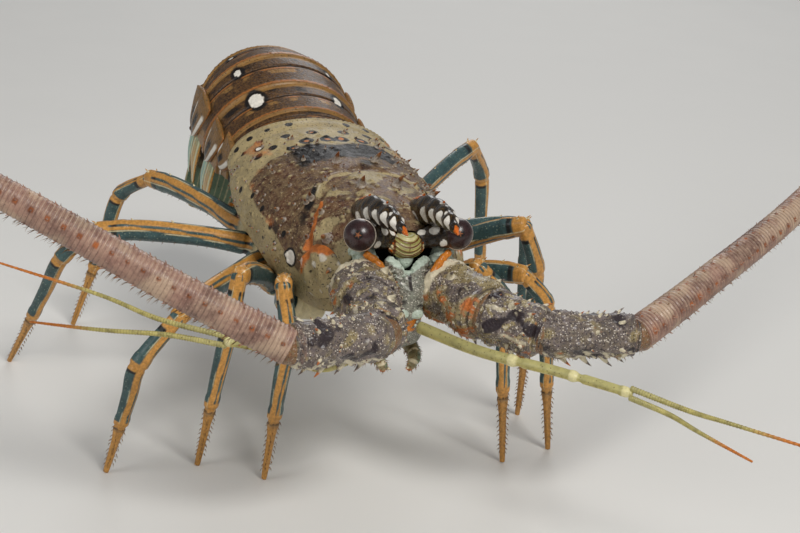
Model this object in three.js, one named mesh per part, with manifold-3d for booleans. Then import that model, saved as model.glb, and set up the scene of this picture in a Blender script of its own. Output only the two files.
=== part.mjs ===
// A spiny lobster, life size, standing with its antennae spread, in millimetres.
// +X is the animal's left, -Y its front, +Z up. The floor is at z = 0.
import * as THREE from "three";
import { mergeVertices } from "three/addons/utils/BufferGeometryUtils.js";
import Module from "manifold-3d";

const wasm = await Module();
wasm.setup();

// Driving sizes. The body is laid out with the carapace's front edge at y = 0 and
// the front of its lower margin at z = 0, and the whole group is then raised.
const CARAPACE_LENGTH = 85;
const STANCE_HEIGHT = 44;
const FLOOR = -STANCE_HEIGHT;
const GAP = 0.3;
const FINEST = 0.02;
const EYE_RADIUS = 4.5;
const EYE_CENTRE = [13.9, -3, 29];
const COXA_FRONT = 30;
const COXA_PITCH = 10.4;
const COXA_INNER = 12.5;
const FOOT_FLAT = 1.1;
const SPINE_SIDES = 5;

// Carapace stations: y, half width, top, widest level, lower margin.
const SHELL = [
  [1, 16, 29.5, 17, 6],
  [8, 20, 33, 16, 4],
  [18, 23.5, 35.3, 15, 3.5],
  [32, 27, 36.8, 16, 6],
  [48, 29.3, 37.8, 18.5, 10],
  [64, 29.6, 39, 21, 13],
  [76, 28.2, 40, 24, 17],
  [CARAPACE_LENGTH, 26.2, 40.5, 28, 24],
];
const SHELL_ARCH = THREE.MathUtils.degToRad(115);
const ARCH_SHARE = 0.82;

// Abdomen: the dorsal line at the joints (y, z), with half width and depth there.
const TAIL_LINE = [
  [86.3, 38.9, 23.5, 21],
  [93, 42, 25, 23],
  [107.5, 47.6, 26, 24.5],
  [123.5, 53, 26, 25],
  [139, 51.5, 24.5, 24],
  [151.5, 43, 22.5, 21.5],
  [159.5, 27.5, 19.5, 17.5],
];
const RING_PITCH = 15;
const PLEURON_LENGTH = [5, 10, 11, 11, 10, 5];
const SWIMMERET_LENGTH = [0, 28, 28, 18, 13, 0];
const FAN_PITCH = THREE.MathUtils.degToRad(100);

// Legs, front to back: the knee, the wrist and the foot, for each side.
const LEGS = {
  right: [
    { knee: [-31.8, 4.5, 13], wrist: [-30.5, 1, -1], foot: [-33, 5] },
    { knee: [-42.3, 11, 13.6], wrist: [-44.5, 10, -1], foot: [-49, 17] },
    { knee: [-57.5, 15, 1], wrist: [-67.5, 15, -12], foot: [-75, 16] },
    { knee: [-68.5, 73, 8], wrist: [-77, 80, -2], foot: [-88, 104] },
    { knee: [-43, 116, 12.5], wrist: [-50, 127, 4], foot: [-62, 136] },
  ],
  left: [
    { knee: [27, 8, 15.4], wrist: [35, 7, 6], foot: [40, 6] },
    { knee: [44, 14, 11], wrist: [51, 12, 2.5], foot: [58, 13] },
    { knee: [47, 24, 22.8], wrist: [53, 25, 9], foot: [60, 40] },
    { knee: [72, 74, 7.5], wrist: [75, 77, -6], foot: [80, 84] },
    { knee: [63, 103, 26.5], wrist: [72, 113, 14], foot: [84, 128] },
  ],
};

// Antennae: the joints of the three thick segments, then the lash.
const ANTENNAE = {
  right: {
    joints: [
      [-11, 0, 13.5],
      [-15.4, -18, 14.5],
      [-18.3, -35, 12.5],
      [-44.6, -42.7, 13.2],
    ],
    lash: [
      [-70, -33.5, 25],
      [-111, -19, 45.8],
      [-178, 12, 77],
      [-250, 62, 104],
      [-312, 128, 118],
    ],
  },
  left: {
    joints: [
      [11, 0, 13.5],
      [18, -20, 12],
      [28.8, -32, 10],
      [52.5, -39.6, 11.6],
    ],
    lash: [
      [77.5, -26.7, 20],
      [123, -1.5, 36],
      [186, 40, 62],
      [250, 92, 86],
      [300, 152, 100],
    ],
  },
};
const ANTENNA_RADII = [9, 8.4, 7.9, 7, 6.6, 5.7];
const LASH_RADII = [4.7, 4.3, 3.9, 3.1, 2.1, 0.7];

// Antennules: the joints of the stalk, then the two threads it carries.
const ANTENNULES = {
  right: {
    joints: [
      [-3.4, -9.5, 4.2],
      [-28, -25, 0.8],
      [-41, -21, 4.2],
      [-52.2, -14.3, 4.6],
    ],
    upper: [
      [-67.5, -3.8, 7.4],
      [-80.7, 7.1, 10.6],
      [-104, 24.5, 14.3],
    ],
    lower: [
      [-66.3, -8.2, 4.6],
      [-81.8, -1.9, 4.2],
      [-99, 4.9, 4.6],
    ],
  },
  left: {
    joints: [
      [3.4, -9.5, 4.6],
      [13.8, -27.6, 3.9],
      [27.7, -45.7, 4.6],
      [41.5, -59.5, 3.5],
    ],
    upper: [
      [53, -69.4, 2.1],
      [62.3, -76.5, 0.7],
      [84, -94, -2.4],
    ],
    lower: [
      [48, -68.6, 1],
      [53.1, -75.7, -1.2],
      [60.7, -88.6, -3.8],
    ],
  },
};

const COLOURS = {
  shell: 0x6b4a38,
  horn: 0x2a2018,
  eye: 0x0c0a0a,
  antenna: 0x8d7f86,
  lash: 0xa58878,
  thread: 0xa8a054,
  leg: 0xc9a04e,
  pale: 0xb9b98a,
  tail: 0x5a3d26,
};

const X_AXIS = new THREE.Vector3(1, 0, 0);
const Y_AXIS = new THREE.Vector3(0, 1, 0);
const Z_AXIS = new THREE.Vector3(0, 0, 1);

function vec(values) {
  return new THREE.Vector3(...values);
}

// A steady stream of numbers from 0 to 1, the same at every run.
function stream(seed) {
  let state = seed;
  return () => {
    state = (state * 16807) % 2147483647;
    return state / 2147483647;
  };
}

// The row of values at x, on a smooth curve through the rows, whose first value is x.
function stationAt(rows, x) {
  const last = rows.length - 2;
  let i = 0;
  while (i < last && x > rows[i + 1][0]) i += 1;
  const [a, b] = [rows[i], rows[i + 1]];
  const before = rows[Math.max(i - 1, 0)];
  const after = rows[Math.min(i + 2, rows.length - 1)];
  const span = b[0] - a[0];
  const t = THREE.MathUtils.clamp((x - a[0]) / span, 0, 1);
  return a.slice(1).map((value, k) => {
    const column = k + 1;
    const slopeA = ((b[column] - before[column]) / (b[0] - before[0])) * span;
    const slopeB = ((after[column] - value) / (after[0] - a[0])) * span;
    const t2 = t * t;
    const t3 = t2 * t;
    return (
      (2 * t3 - 3 * t2 + 1) * value +
      (t3 - 2 * t2 + t) * slopeA +
      (3 * t2 - 2 * t3) * b[column] +
      (t3 - t2) * slopeB
    );
  });
}

// A closed form: a cylinder whose points place(t, angle, share) puts somewhere else.
// t runs from one end to the other, and share is 0 on the axis and 1 on the surface.
function shaped(sides, steps, place) {
  const geometry = new THREE.CylinderGeometry(1, 1, 1, sides, steps);
  const position = geometry.getAttribute("position");
  const point = new THREE.Vector3();
  for (let i = 0; i < position.count; i += 1) {
    point.fromBufferAttribute(position, i);
    const share = Math.hypot(point.x, point.z);
    const angle = share > 0 ? Math.atan2(point.x, point.z) : 0;
    const placed = place(point.y + 0.5, angle, share);
    position.setXYZ(i, placed.x, placed.y, placed.z);
  }
  return geometry;
}

function solid(geometry) {
  const bare = geometry.index ? geometry.toNonIndexed() : geometry.clone();
  for (const name of Object.keys(bare.attributes)) {
    if (name !== "position") bare.deleteAttribute(name);
  }
  const merged = mergeVertices(bare, 1e-4);
  return new wasm.Manifold(
    new wasm.Mesh({
      numProp: 3,
      vertProperties: merged.getAttribute("position").array,
      triVerts: new Uint32Array(merged.index.array),
    }),
  );
}

// The largest closed surface of a solid, which drops loose scraps and sealed hollows.
// Edges shorter than the finest detail are closed up.
function largest(made) {
  const pieces = made.simplify(FINEST).decompose();
  pieces.sort((a, b) => b.volume() - a.volume());
  return pieces[0];
}

function join(pieces) {
  return largest(pieces.reduce((sum, piece) => sum.add(piece)));
}

function cut(piece, cutters) {
  return largest(cutters.reduce((rest, cutter) => rest.subtract(cutter), piece));
}

function meshOf(name, made, colour, roughness = 0.5) {
  const data = made.getMesh();
  const geometry = new THREE.BufferGeometry();
  const positions = new Float32Array(data.numVert * 3);
  for (let i = 0; i < data.numVert; i += 1) {
    const start = i * data.numProp;
    positions.set(data.vertProperties.subarray(start, start + 3), i * 3);
  }
  geometry.setAttribute("position", new THREE.BufferAttribute(positions, 3));
  geometry.setIndex(new THREE.BufferAttribute(data.triVerts, 1));
  geometry.computeVertexNormals();
  const material = new THREE.MeshStandardMaterial({ color: colour, roughness, metalness: 0 });
  const mesh = new THREE.Mesh(geometry, material);
  mesh.name = name;
  return mesh;
}

function curveThrough(points) {
  return new THREE.CatmullRomCurve3(points.map(vec), false, "catmullrom", 0.5);
}

// A limb along a smooth line. Each row is x, y, z, half width, half depth.
// The width lies across both the line and the given up direction.
function limb(rows, { sides = 8, steps = 8, up = Z_AXIS, grow = 0, from = 0, to = 1 } = {}) {
  const line = curveThrough(rows.map((row) => row.slice(0, 3)));
  const sizes = curveThrough(rows.map((row) => [row[3], row[4], 0]));
  const geometry = shaped(sides, steps, (t, angle, share) => {
    const at = from + (to - from) * t;
    const tangent = line.getTangent(at);
    const side = new THREE.Vector3().crossVectors(tangent, up).normalize();
    const normal = new THREE.Vector3().crossVectors(side, tangent);
    const size = sizes.getPoint(at);
    const point = line.getPoint(at);
    point.addScaledVector(side, share * Math.sin(angle) * (size.x + grow));
    point.addScaledVector(normal, share * Math.cos(angle) * (size.y + grow));
    if (t === 0) point.addScaledVector(tangent, -grow);
    if (t === 1) point.addScaledVector(tangent, grow);
    return point;
  });
  return solid(geometry);
}

function ball(centre, radii, grow = 0, sides = 16, rings = 10) {
  const geometry = new THREE.SphereGeometry(1, sides, rings);
  geometry.scale(radii[0] + grow, radii[1] + grow, radii[2] + grow);
  geometry.translate(...centre);
  return solid(geometry);
}

// A spine with its foot sunk into what it grows from. Its point leans by the lean vector.
function spine(root, direction, height, radius, lean = new THREE.Vector3()) {
  const sunk = height * 0.3;
  const geometry = new THREE.ConeGeometry(radius, height + sunk, SPINE_SIDES, 1);
  geometry.translate(0, (height + sunk) / 2 - sunk, 0);
  geometry.applyQuaternion(new THREE.Quaternion().setFromUnitVectors(Y_AXIS, direction));
  geometry.translate(root.x, root.y, root.z);
  const tip = root.clone().addScaledVector(direction, height);
  const leaning = tip.clone().add(lean);
  const position = geometry.getAttribute("position");
  const here = new THREE.Vector3();
  for (let i = 0; i < position.count; i += 1) {
    here.fromBufferAttribute(position, i);
    if (here.distanceTo(tip) < 1e-3) position.setXYZ(i, leaning.x, leaning.y, leaning.z);
  }
  return solid(geometry);
}

// Carapace

// The groove that runs from the middle of the back forwards and down each side.
function grooveDepth(y, angle) {
  const groove = 38 - 17 * Math.abs(angle);
  const rim = 77;
  const neck = 1.3 * Math.exp(-(((y - groove) / 2.6) ** 2));
  const edge = 0.9 * Math.exp(-(((y - rim) / 2.2) ** 2));
  return neck + edge;
}

function shellPoint(y, angle, grow = 0) {
  const [halfWidth, top, widest, margin] = stationAt(SHELL, y);
  const turn = Math.abs(angle);
  const limit = Math.PI * ARCH_SHARE;
  const side = Math.sign(angle);
  if (turn > limit) {
    const inward = (Math.PI - turn) / (Math.PI - limit);
    const x = side * inward * Math.sin(SHELL_ARCH) * (halfWidth + grow);
    return new THREE.Vector3(x, y, margin - grow);
  }
  const bend = (turn / limit) * SHELL_ARCH;
  const depth = grooveDepth(y, bend);
  const x = side * Math.sin(bend) * (halfWidth + grow - depth);
  const rise = Math.cos(bend);
  const drop = Math.cos(SHELL_ARCH);
  const z = rise > 0
    ? widest + rise * (top + grow - depth - widest)
    : widest + (rise / drop) * (margin - grow - widest);
  return new THREE.Vector3(x, y, z);
}

function shellSolid(grow = 0, sides = 26, steps = 21) {
  const start = SHELL[0][0] - grow;
  const end = CARAPACE_LENGTH + grow;
  const geometry = shaped(sides, steps, (t, angle, share) => {
    const y = start + (end - start) * t;
    const point = shellPoint(THREE.MathUtils.clamp(y, SHELL[0][0], CARAPACE_LENGTH), angle, grow);
    const middle = new THREE.Vector3(0, y, 20);
    point.y = y;
    return middle.lerp(point, share);
  });
  return solid(geometry);
}

function shellNormal(y, angle) {
  const step = 0.02;
  const across = shellPoint(y, angle + step).sub(shellPoint(y, angle - step));
  const along = shellPoint(y + step, angle).sub(shellPoint(y - step, angle));
  return along.cross(across).normalize().negate();
}

// Spines stand in rows along the back and the sides, smaller towards the rear.
const SPINE_ROWS = [
  { angle: 12, from: 55, to: 74, count: 3, height: 1.6 },
  { angle: 27, from: 24, to: 74, count: 6, height: 2.3 },
  { angle: 46, from: 18, to: 74, count: 6, height: 2.4 },
  { angle: 68, from: 14, to: 74, count: 6, height: 2 },
  { angle: 92, from: 12, to: 70, count: 5, height: 1.4 },
];
// The large pairs: distance from the front edge, angle from the middle, height.
const SPINE_PAIRS = [
  [22.5, 12, 4.2],
  [43, 12, 4],
  [10, 62, 4.4],
  [28, 44, 3.4],
  [5, 88, 3.2],
];
const SHELL_TURN = Math.PI * ARCH_SHARE / SHELL_ARCH;

function shellSpine(y, degrees, height, side) {
  const angle = side * THREE.MathUtils.degToRad(degrees) * SHELL_TURN;
  const root = shellPoint(y, angle);
  const lean = new THREE.Vector3(0, -0.7 * height, 0);
  return spine(root, shellNormal(y, angle), height, height * 0.42, lean);
}

function carapace() {
  const draw = stream(11);
  const pieces = [shellSolid()];
  for (const side of [-1, 1]) {
    for (const [y, degrees, height] of SPINE_PAIRS) {
      pieces.push(shellSpine(y, degrees, height, side));
    }
    for (const row of SPINE_ROWS) {
      for (let i = 0; i < row.count; i += 1) {
        const y = row.from + ((row.to - row.from) * (i + 0.6 * draw())) / row.count;
        const height = row.height * (1.15 - (0.55 * y) / CARAPACE_LENGTH) * (0.8 + 0.4 * draw());
        pieces.push(shellSpine(y, row.angle + 6 * (draw() - 0.5), height, side));
      }
    }
  }
  return join(pieces);
}

// Head

// A horn rises from the front of the back and arches forward over the eye.
function hornRows(side) {
  return [
    [side * 8, 15.5, 27.5, 3.6, 5],
    [side * 8, 8.5, 31.7, 3.7, 4.7],
    [side * 8.2, 0.5, 34.2, 3.3, 3.9],
    [side * 8, -7.5, 35.1, 2.7, 3],
    [side * 7.6, -14, 34.9, 1.7, 1.9],
    [side * 7.1, -19.2, 33.9, 0.4, 0.42],
  ];
}

function horn(side, cutters) {
  const body = limb(hornRows(side), { sides: 10, steps: 12 });
  const forward = new THREE.Vector3(0, -0.5, 0.866);
  const small = [
    spine(new THREE.Vector3(side * 7.9, 9.5, 35.4), forward, 2.2, 1.2),
    spine(new THREE.Vector3(side * 8.1, -4.5, 37.6), forward, 1.9, 1),
  ];
  return cut(join([body, ...small]), cutters);
}

function eyeCentre(side) {
  return [side * EYE_CENTRE[0], EYE_CENTRE[1], EYE_CENTRE[2]];
}

function eyestalk(side, grow = 0) {
  return limb(
    [
      [side * 4.2, 0.2, 26.6, 2.6, 2.6],
      [side * 7.5, -1.2, 27.6, 3.1, 3.1],
      [side * 11.5, -2.4, 28.7, 4.2, 4.2],
      [side * 13.4, -2.9, 29, 4.75, 4.75],
    ],
    { sides: 10, steps: 5, grow },
  );
}

// The shield between the antennae, with two lobes at its top, the eye bridge above
// and the mouth frame below.
function antennularPlate(grow) {
  const shield = limb(
    [
      [0, -3.2, 19.5, 5.6, 2.6],
      [0, -4.6, 15.5, 6, 3.6],
      [0, -5.2, 10.5, 5, 4.2],
      [0, -4, 6, 5.2, 4.6],
      [0, -1, 1, 7, 5],
      [0, 2, -2, 5, 3],
    ],
    { sides: 10, steps: 7, up: Y_AXIS, grow },
  );
  const lobes = [-1, 1].map((side) => ball([side * 3.1, -3, 20.2], [2.9, 2.1, 2.4], grow, 7, 5));
  const bridge = ball([0, -1.2, 25.4], [4.6, 3.4, 3.5], grow, 10, 6);
  const neck = ball([0, -1.2, 22], [2.4, 1.8, 3.2], grow, 7, 5);
  return join([shield, ...lobes, bridge, neck]);
}

// The third jaw legs are folded forward below the mouth.
function maxilliped(side) {
  return limb(
    [
      [side * 6.5, 23, -3.5, 2.6, 2.2],
      [side * 7, 12, -5.5, 2.6, 2.2],
      [side * 6.6, 4, -5.8, 2.3, 2],
      [side * 5.8, -1, -6.2, 2, 1.8],
      [side * 4.6, -3.6, -7.6, 1.6, 1.5],
      [side * 3.8, -3, -9.8, 0.8, 0.8],
    ],
    { sides: 7, steps: 9, up: X_AXIS },
  );
}

// Antennae

function antennaRows(joints, index) {
  const [start, end] = [joints[index], joints[index + 1]];
  const [wide, narrow] = ANTENNA_RADII.slice(index * 2, index * 2 + 2);
  const at = (t) => start.map((value, k) => value + (end[k] - value) * t);
  return [
    [...at(-0.06), wide * 0.78, wide * 0.74],
    [...at(0.14), wide, wide * 0.95],
    [...at(0.5), wide * 0.45 + narrow * 0.5, wide * 0.42 + narrow * 0.47],
    [...at(0.85), narrow * 1.06, narrow],
    [...at(1), narrow * 0.84, narrow * 0.8],
  ];
}

// Spines round the far end of a thick segment and along its underside.
function antennaSpines(joints, index, side, grow = 0) {
  const start = vec(joints[index]);
  const end = vec(joints[index + 1]);
  const along = end.clone().sub(start).normalize();
  const across = new THREE.Vector3().crossVectors(along, Z_AXIS).normalize();
  const above = new THREE.Vector3().crossVectors(across, along);
  const radius = ANTENNA_RADII[index * 2 + 1];
  const outward = (degrees) => {
    const turn = THREE.MathUtils.degToRad(degrees);
    return above.clone().multiplyScalar(Math.cos(turn)).addScaledVector(across, Math.sin(turn));
  };
  const place = (t, degrees, height) => {
    const direction = outward(degrees);
    const root = start.clone().lerp(end, t).addScaledVector(direction, radius * 0.96);
    const lean = along.clone().multiplyScalar(height * 0.9);
    return spine(root, direction, height + 3 * grow, height * 0.42 + 2 * grow, lean);
  };
  const front = side > 0 ? 1 : -1;
  const spines = [40, 110, 180, 250, 320].map((turn) => place(0.8, turn, 2.3));
  if (index === 2) {
    for (const t of [0.2, 0.42, 0.64]) {
      spines.push(place(t, 180 - front * 10, 3));
      spines.push(place(t, 180 + front * 55, 2));
      spines.push(place(t - 0.06, front * 12, 1.6));
    }
  } else {
    spines.push(place(0.45, front * 35, 3));
    spines.push(place(0.5, 180, 2.6));
  }
  return spines;
}

function lashRows(side) {
  const { joints, lash } = ANTENNAE[side];
  return [joints[3], ...lash].map((point, i) => [...point, LASH_RADII[i], LASH_RADII[i]]);
}

const LASH_CUTS = [0, 0.3, 0.62, 1];

function lashLength(side, index, grow = 0) {
  const [from, to] = LASH_CUTS.slice(index, index + 2);
  const slack = 0.0006;
  return limb(lashRows(side), {
    sides: [10, 8, 6][index],
    steps: [9, 7, 7][index],
    from: from + slack,
    to: index === 2 ? to : to - slack,
    grow,
  });
}

function antennuleRows(joints) {
  const radii = [1.7, 1.5, 1.35, 1.15];
  return joints.map((point, i) => [...point, radii[i], radii[i]]);
}

function threadRows(start, points) {
  const radii = [0.8, 0.7, 0.55, 0.35];
  return [start, ...points].map((point, i) => [...point, radii[i], radii[i]]);
}

// Legs

function coxaRoot(index) {
  const y = COXA_FRONT + COXA_PITCH * index;
  const margin = stationAt(SHELL, y)[3];
  return { y, z: margin - 6.2, margin };
}

function upperLegRows(side, index) {
  const sign = side === "left" ? 1 : -1;
  const { y, z, margin } = coxaRoot(index);
  const halfWidth = stationAt(SHELL, y)[0];
  const knee = LEGS[side][index].knee;
  const root = [sign * halfWidth * 0.86, y + (knee[1] - y) * 0.05, margin - 5.4];
  const at = (t, lift) => [
    root[0] + (knee[0] - root[0]) * t,
    root[1] + (knee[1] - root[1]) * t,
    root[2] + (knee[2] - root[2]) * t + lift,
  ];
  return [
    [sign * COXA_INNER, y, z - 1.2, 4.2, 4.6],
    [sign * (COXA_INNER + 6), y, z - 0.4, 4.5, 4.6],
    [...root, 3.2, 3.6],
    [...at(0.3, 1.2), 2.5, 3.1],
    [...at(0.7, 1.4), 2.4, 3.2],
    [...knee, 2.2, 2.6],
  ];
}

function lowerLegRows(side, index) {
  const { knee, wrist, foot } = LEGS[side][index];
  const tip = [...foot, FLOOR];
  const at = (t) => wrist.map((value, k) => value + (tip[k] - value) * t);
  const shin = at(0.62);
  return [
    [...knee, 1.9, 2.2],
    [...wrist, 2.2, 2.5],
    [...at(0.3), 1.9, 2.2],
    [...shin, 1.5, 1.7],
    [tip[0], tip[1], FLOOR, FOOT_FLAT, FOOT_FLAT],
  ];
}

function kneeSpines(rows) {
  const knee = vec(rows[5]);
  const before = vec(rows[4]);
  const along = knee.clone().sub(before).normalize();
  return [-1, 1].map((side) => {
    const direction = new THREE.Vector3(0.5 * side, 0, 0.87).normalize();
    const root = knee.clone().addScaledVector(along, -1.4).addScaledVector(direction, 2);
    return spine(root, direction, 1.7, 0.8, along.clone().multiplyScalar(1.2));
  });
}

function upperLeg(side, index, grow = 0) {
  return limb(upperLegRows(side, index), { sides: 7, steps: 7, grow });
}

// The lower leg ends in a small flat that stands on the floor.
function lowerLeg(side, index) {
  const out = side === "left" ? X_AXIS : X_AXIS.clone().negate();
  const leg = limb(lowerLegRows(side, index), { sides: 7, steps: 8, up: out });
  const slab = new THREE.BoxGeometry(40, 40, 20).translate(...LEGS[side][index].foot, FLOOR - 10);
  return cut(leg, [solid(slab)]);
}

function sternum(grow) {
  const stations = [
    [22, 5, -1, -6],
    [40, 8, 2, -4],
    [60, 11, 6.5, 0],
    [76, 12, 10.5, 4],
    [82, 10.5, 13, 8],
  ];
  const start = stations[0][0];
  const end = stations[stations.length - 1][0];
  return solid(
    shaped(12, 6, (t, angle, share) => {
      const y = start + (end - start) * t;
      const [halfWidth, top, bottom] = stationAt(stations, y);
      const middle = (top + bottom) / 2;
      const x = share * (halfWidth + grow) * Math.sin(angle);
      const z = middle + share * ((top - bottom) / 2 + grow) * Math.cos(angle);
      return new THREE.Vector3(x, y + (t - 0.5) * 2 * grow, z);
    }),
  );
}

// Abdomen

function tailFrame(at) {
  const points = TAIL_LINE.map(([y, z]) => [0, y, z]);
  const line = curveThrough(points);
  const last = TAIL_LINE.length - 1;
  const inside = THREE.MathUtils.clamp(at, 0, last);
  const t = inside / last;
  const tangent = line.getTangent(t);
  const normal = new THREE.Vector3(0, -tangent.z, tangent.y);
  const rows = TAIL_LINE.map(([, , width, depth], i) => [i, width, depth]);
  const [halfWidth, depth] = stationAt(rows, inside);
  const point = line.getPoint(t).addScaledVector(tangent, (at - inside) * RING_PITCH);
  return { point, tangent, normal, halfWidth, depth };
}

// A point of the abdomen's skin: joint number, angle from the middle of the back.
function ringPoint(at, angle, grow = 0) {
  const { point, normal, halfWidth, depth } = tailFrame(at);
  const turn = Math.abs(angle);
  const limit = Math.PI * 0.66;
  const floorLevel = -depth * 0.82;
  const centre = point.clone().addScaledVector(normal, -depth);
  if (turn > limit) {
    const inward = (Math.PI - turn) / (Math.PI - limit);
    const x = Math.sign(angle) * inward * halfWidth * 0.98;
    return centre.addScaledVector(X_AXIS, x).addScaledVector(normal, depth + floorLevel - grow);
  }
  const bend = (turn / limit) * THREE.MathUtils.degToRad(98);
  const x = Math.sign(angle) * Math.sin(bend) * (halfWidth + grow);
  const rise = Math.cos(bend) > 0 ? Math.cos(bend) * (depth + grow) : Math.cos(bend) * depth;
  return centre.addScaledVector(X_AXIS, x).addScaledVector(normal, rise);
}

// The rear rim of each ring stands a little proud of the next one.
function rimRise(share) {
  const rim = share > 0.8 ? 0.55 : 0;
  const groove = share > 0.4 && share < 0.55 ? -0.35 : 0;
  return rim + groove;
}

function tailRing(start, end, grow) {
  return solid(
    shaped(18, 5, (t, angle, share) => {
      const at = start + (end - start) * t;
      const { point, normal, depth } = tailFrame(at);
      const middle = point.clone().addScaledVector(normal, -depth * 0.5);
      return middle.lerp(ringPoint(at, angle, rimRise(t) + grow), share);
    }),
  );
}

// A pointed side plate hangs from each side of a ring and turns back at its tip.
function pleuron(index, side, grow) {
  const { point, tangent, normal, halfWidth, depth } = tailFrame(index + 0.5);
  const length = PLEURON_LENGTH[index];
  const edge = (t, down, out) =>
    point
      .clone()
      .addScaledVector(X_AXIS, side * (halfWidth + out))
      .addScaledVector(tangent, t)
      .addScaledVector(normal, -depth * 0.78 - down)
      .toArray();
  return limb(
    [
      [...edge(0, -5, -1.6), 5.4, 1],
      [...edge(0.6, 0, -0.6), 5.2, 1.1],
      [...edge(1.6, length * 0.55, 0.4), 3.6, 0.9],
      [...edge(3.6, length, 0.2), 0.5, 0.4],
    ],
    { sides: 6, steps: 3, up: X_AXIS, grow },
  );
}

// A swimmeret: a thin leaf below a ring, hanging down and back.
function swimmeret(index, side, back, width, grow) {
  const { point, tangent, normal, halfWidth, depth } = tailFrame(index + 0.5);
  const reach = SWIMMERET_LENGTH[index];
  const root = point
    .clone()
    .addScaledVector(X_AXIS, side * halfWidth * 0.9)
    .addScaledVector(normal, -depth * 0.74);
  const at = (down, t, out) =>
    root
      .clone()
      .addScaledVector(X_AXIS, side * out)
      .addScaledVector(tangent, t)
      .addScaledVector(normal, -down)
      .toArray();
  return limb(
    [
      [...at(-2, back, 0), width * 0.4, 0.9],
      [...at(reach * 0.3, back + 0.3, 1.5), width * 0.8, 0.7],
      [...at(reach * 0.65, back + 0.9, 2.2), width, 0.6],
      [...at(reach, back + 1.5, 1.2), width * 0.35, 0.4],
    ],
    { sides: 6, steps: 4, up: X_AXIS, grow },
  );
}

function abdomenRing(index, grow = 0) {
  const clear = 0.012 - grow * 0.07;
  const pieces = [tailRing(index + clear, index + 1 - clear, grow)];
  for (const side of [-1, 1]) {
    pieces.push(pleuron(index, side, grow));
    if (SWIMMERET_LENGTH[index] > 0) {
      pieces.push(swimmeret(index, side, -1.5, 3.9, grow));
    }
    if (SWIMMERET_LENGTH[index] > 20) {
      pieces.push(swimmeret(index, side, 4.2, 2.2, grow));
    }
  }
  return join(pieces);
}

// Tail fan: the middle blade and two pairs of side blades, each lying under the last.
const FAN_BLADES = {
  telson: { yaw: 0, lift: 0, length: 37, width: 10, root: 0 },
  uropod_inner: { yaw: 8, lift: -2.6, length: 35, width: 8.2, root: 5 },
  uropod_outer: { yaw: 15, lift: -5.2, length: 36, width: 8.8, root: 8.5 },
};

function fanBlade(kind, side, grow = 0) {
  const blade = FAN_BLADES[kind];
  const yaw = side * THREE.MathUtils.degToRad(blade.yaw);
  const back = new THREE.Vector3(0, Math.cos(FAN_PITCH), -Math.sin(FAN_PITCH));
  const normal = new THREE.Vector3(0, Math.sin(FAN_PITCH), Math.cos(FAN_PITCH));
  const direction = X_AXIS.clone().multiplyScalar(Math.sin(yaw)).addScaledVector(back, Math.cos(yaw));
  const { point } = tailFrame(6);
  const root = point
    .clone()
    .addScaledVector(normal, -6.5 + blade.lift)
    .addScaledVector(X_AXIS, side * blade.root)
    .addScaledVector(back, 0.8);
  const at = (t, sag) =>
    root.clone().addScaledVector(direction, blade.length * t).addScaledVector(normal, -sag).toArray();
  return limb(
    [
      [...at(0, 0), blade.width * 0.5, 1.5],
      [...at(0.25, -0.4), blade.width * 0.78, 1.2],
      [...at(0.6, -0.4), blade.width, 0.9],
      [...at(0.88, 0.2), blade.width * 0.94, 0.7],
      [...at(1, 1), blade.width * 0.6, 0.45],
    ],
    { sides: 10, steps: 5, up: normal, grow },
  );
}

// Assembly

const lobster = new THREE.Group();
const head = new THREE.Group();
const legs = new THREE.Group();
const tail = new THREE.Group();
lobster.add(head, legs, tail);

const sides = { right: -1, left: 1 };
const shellClear = shellSolid(GAP);
lobster.add(meshOf("carapace", carapace(), COLOURS.shell, 0.6));
const sternumMade = cut(sternum(0), [shellClear]);
const sternumClear = sternum(GAP);
lobster.add(meshOf("sternum", sternumMade, COLOURS.pale));

const plateRaw = antennularPlate(0);
const plateClear = antennularPlate(GAP);
head.add(meshOf("antennular_plate", cut(plateRaw, [shellClear]), COLOURS.pale));

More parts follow.
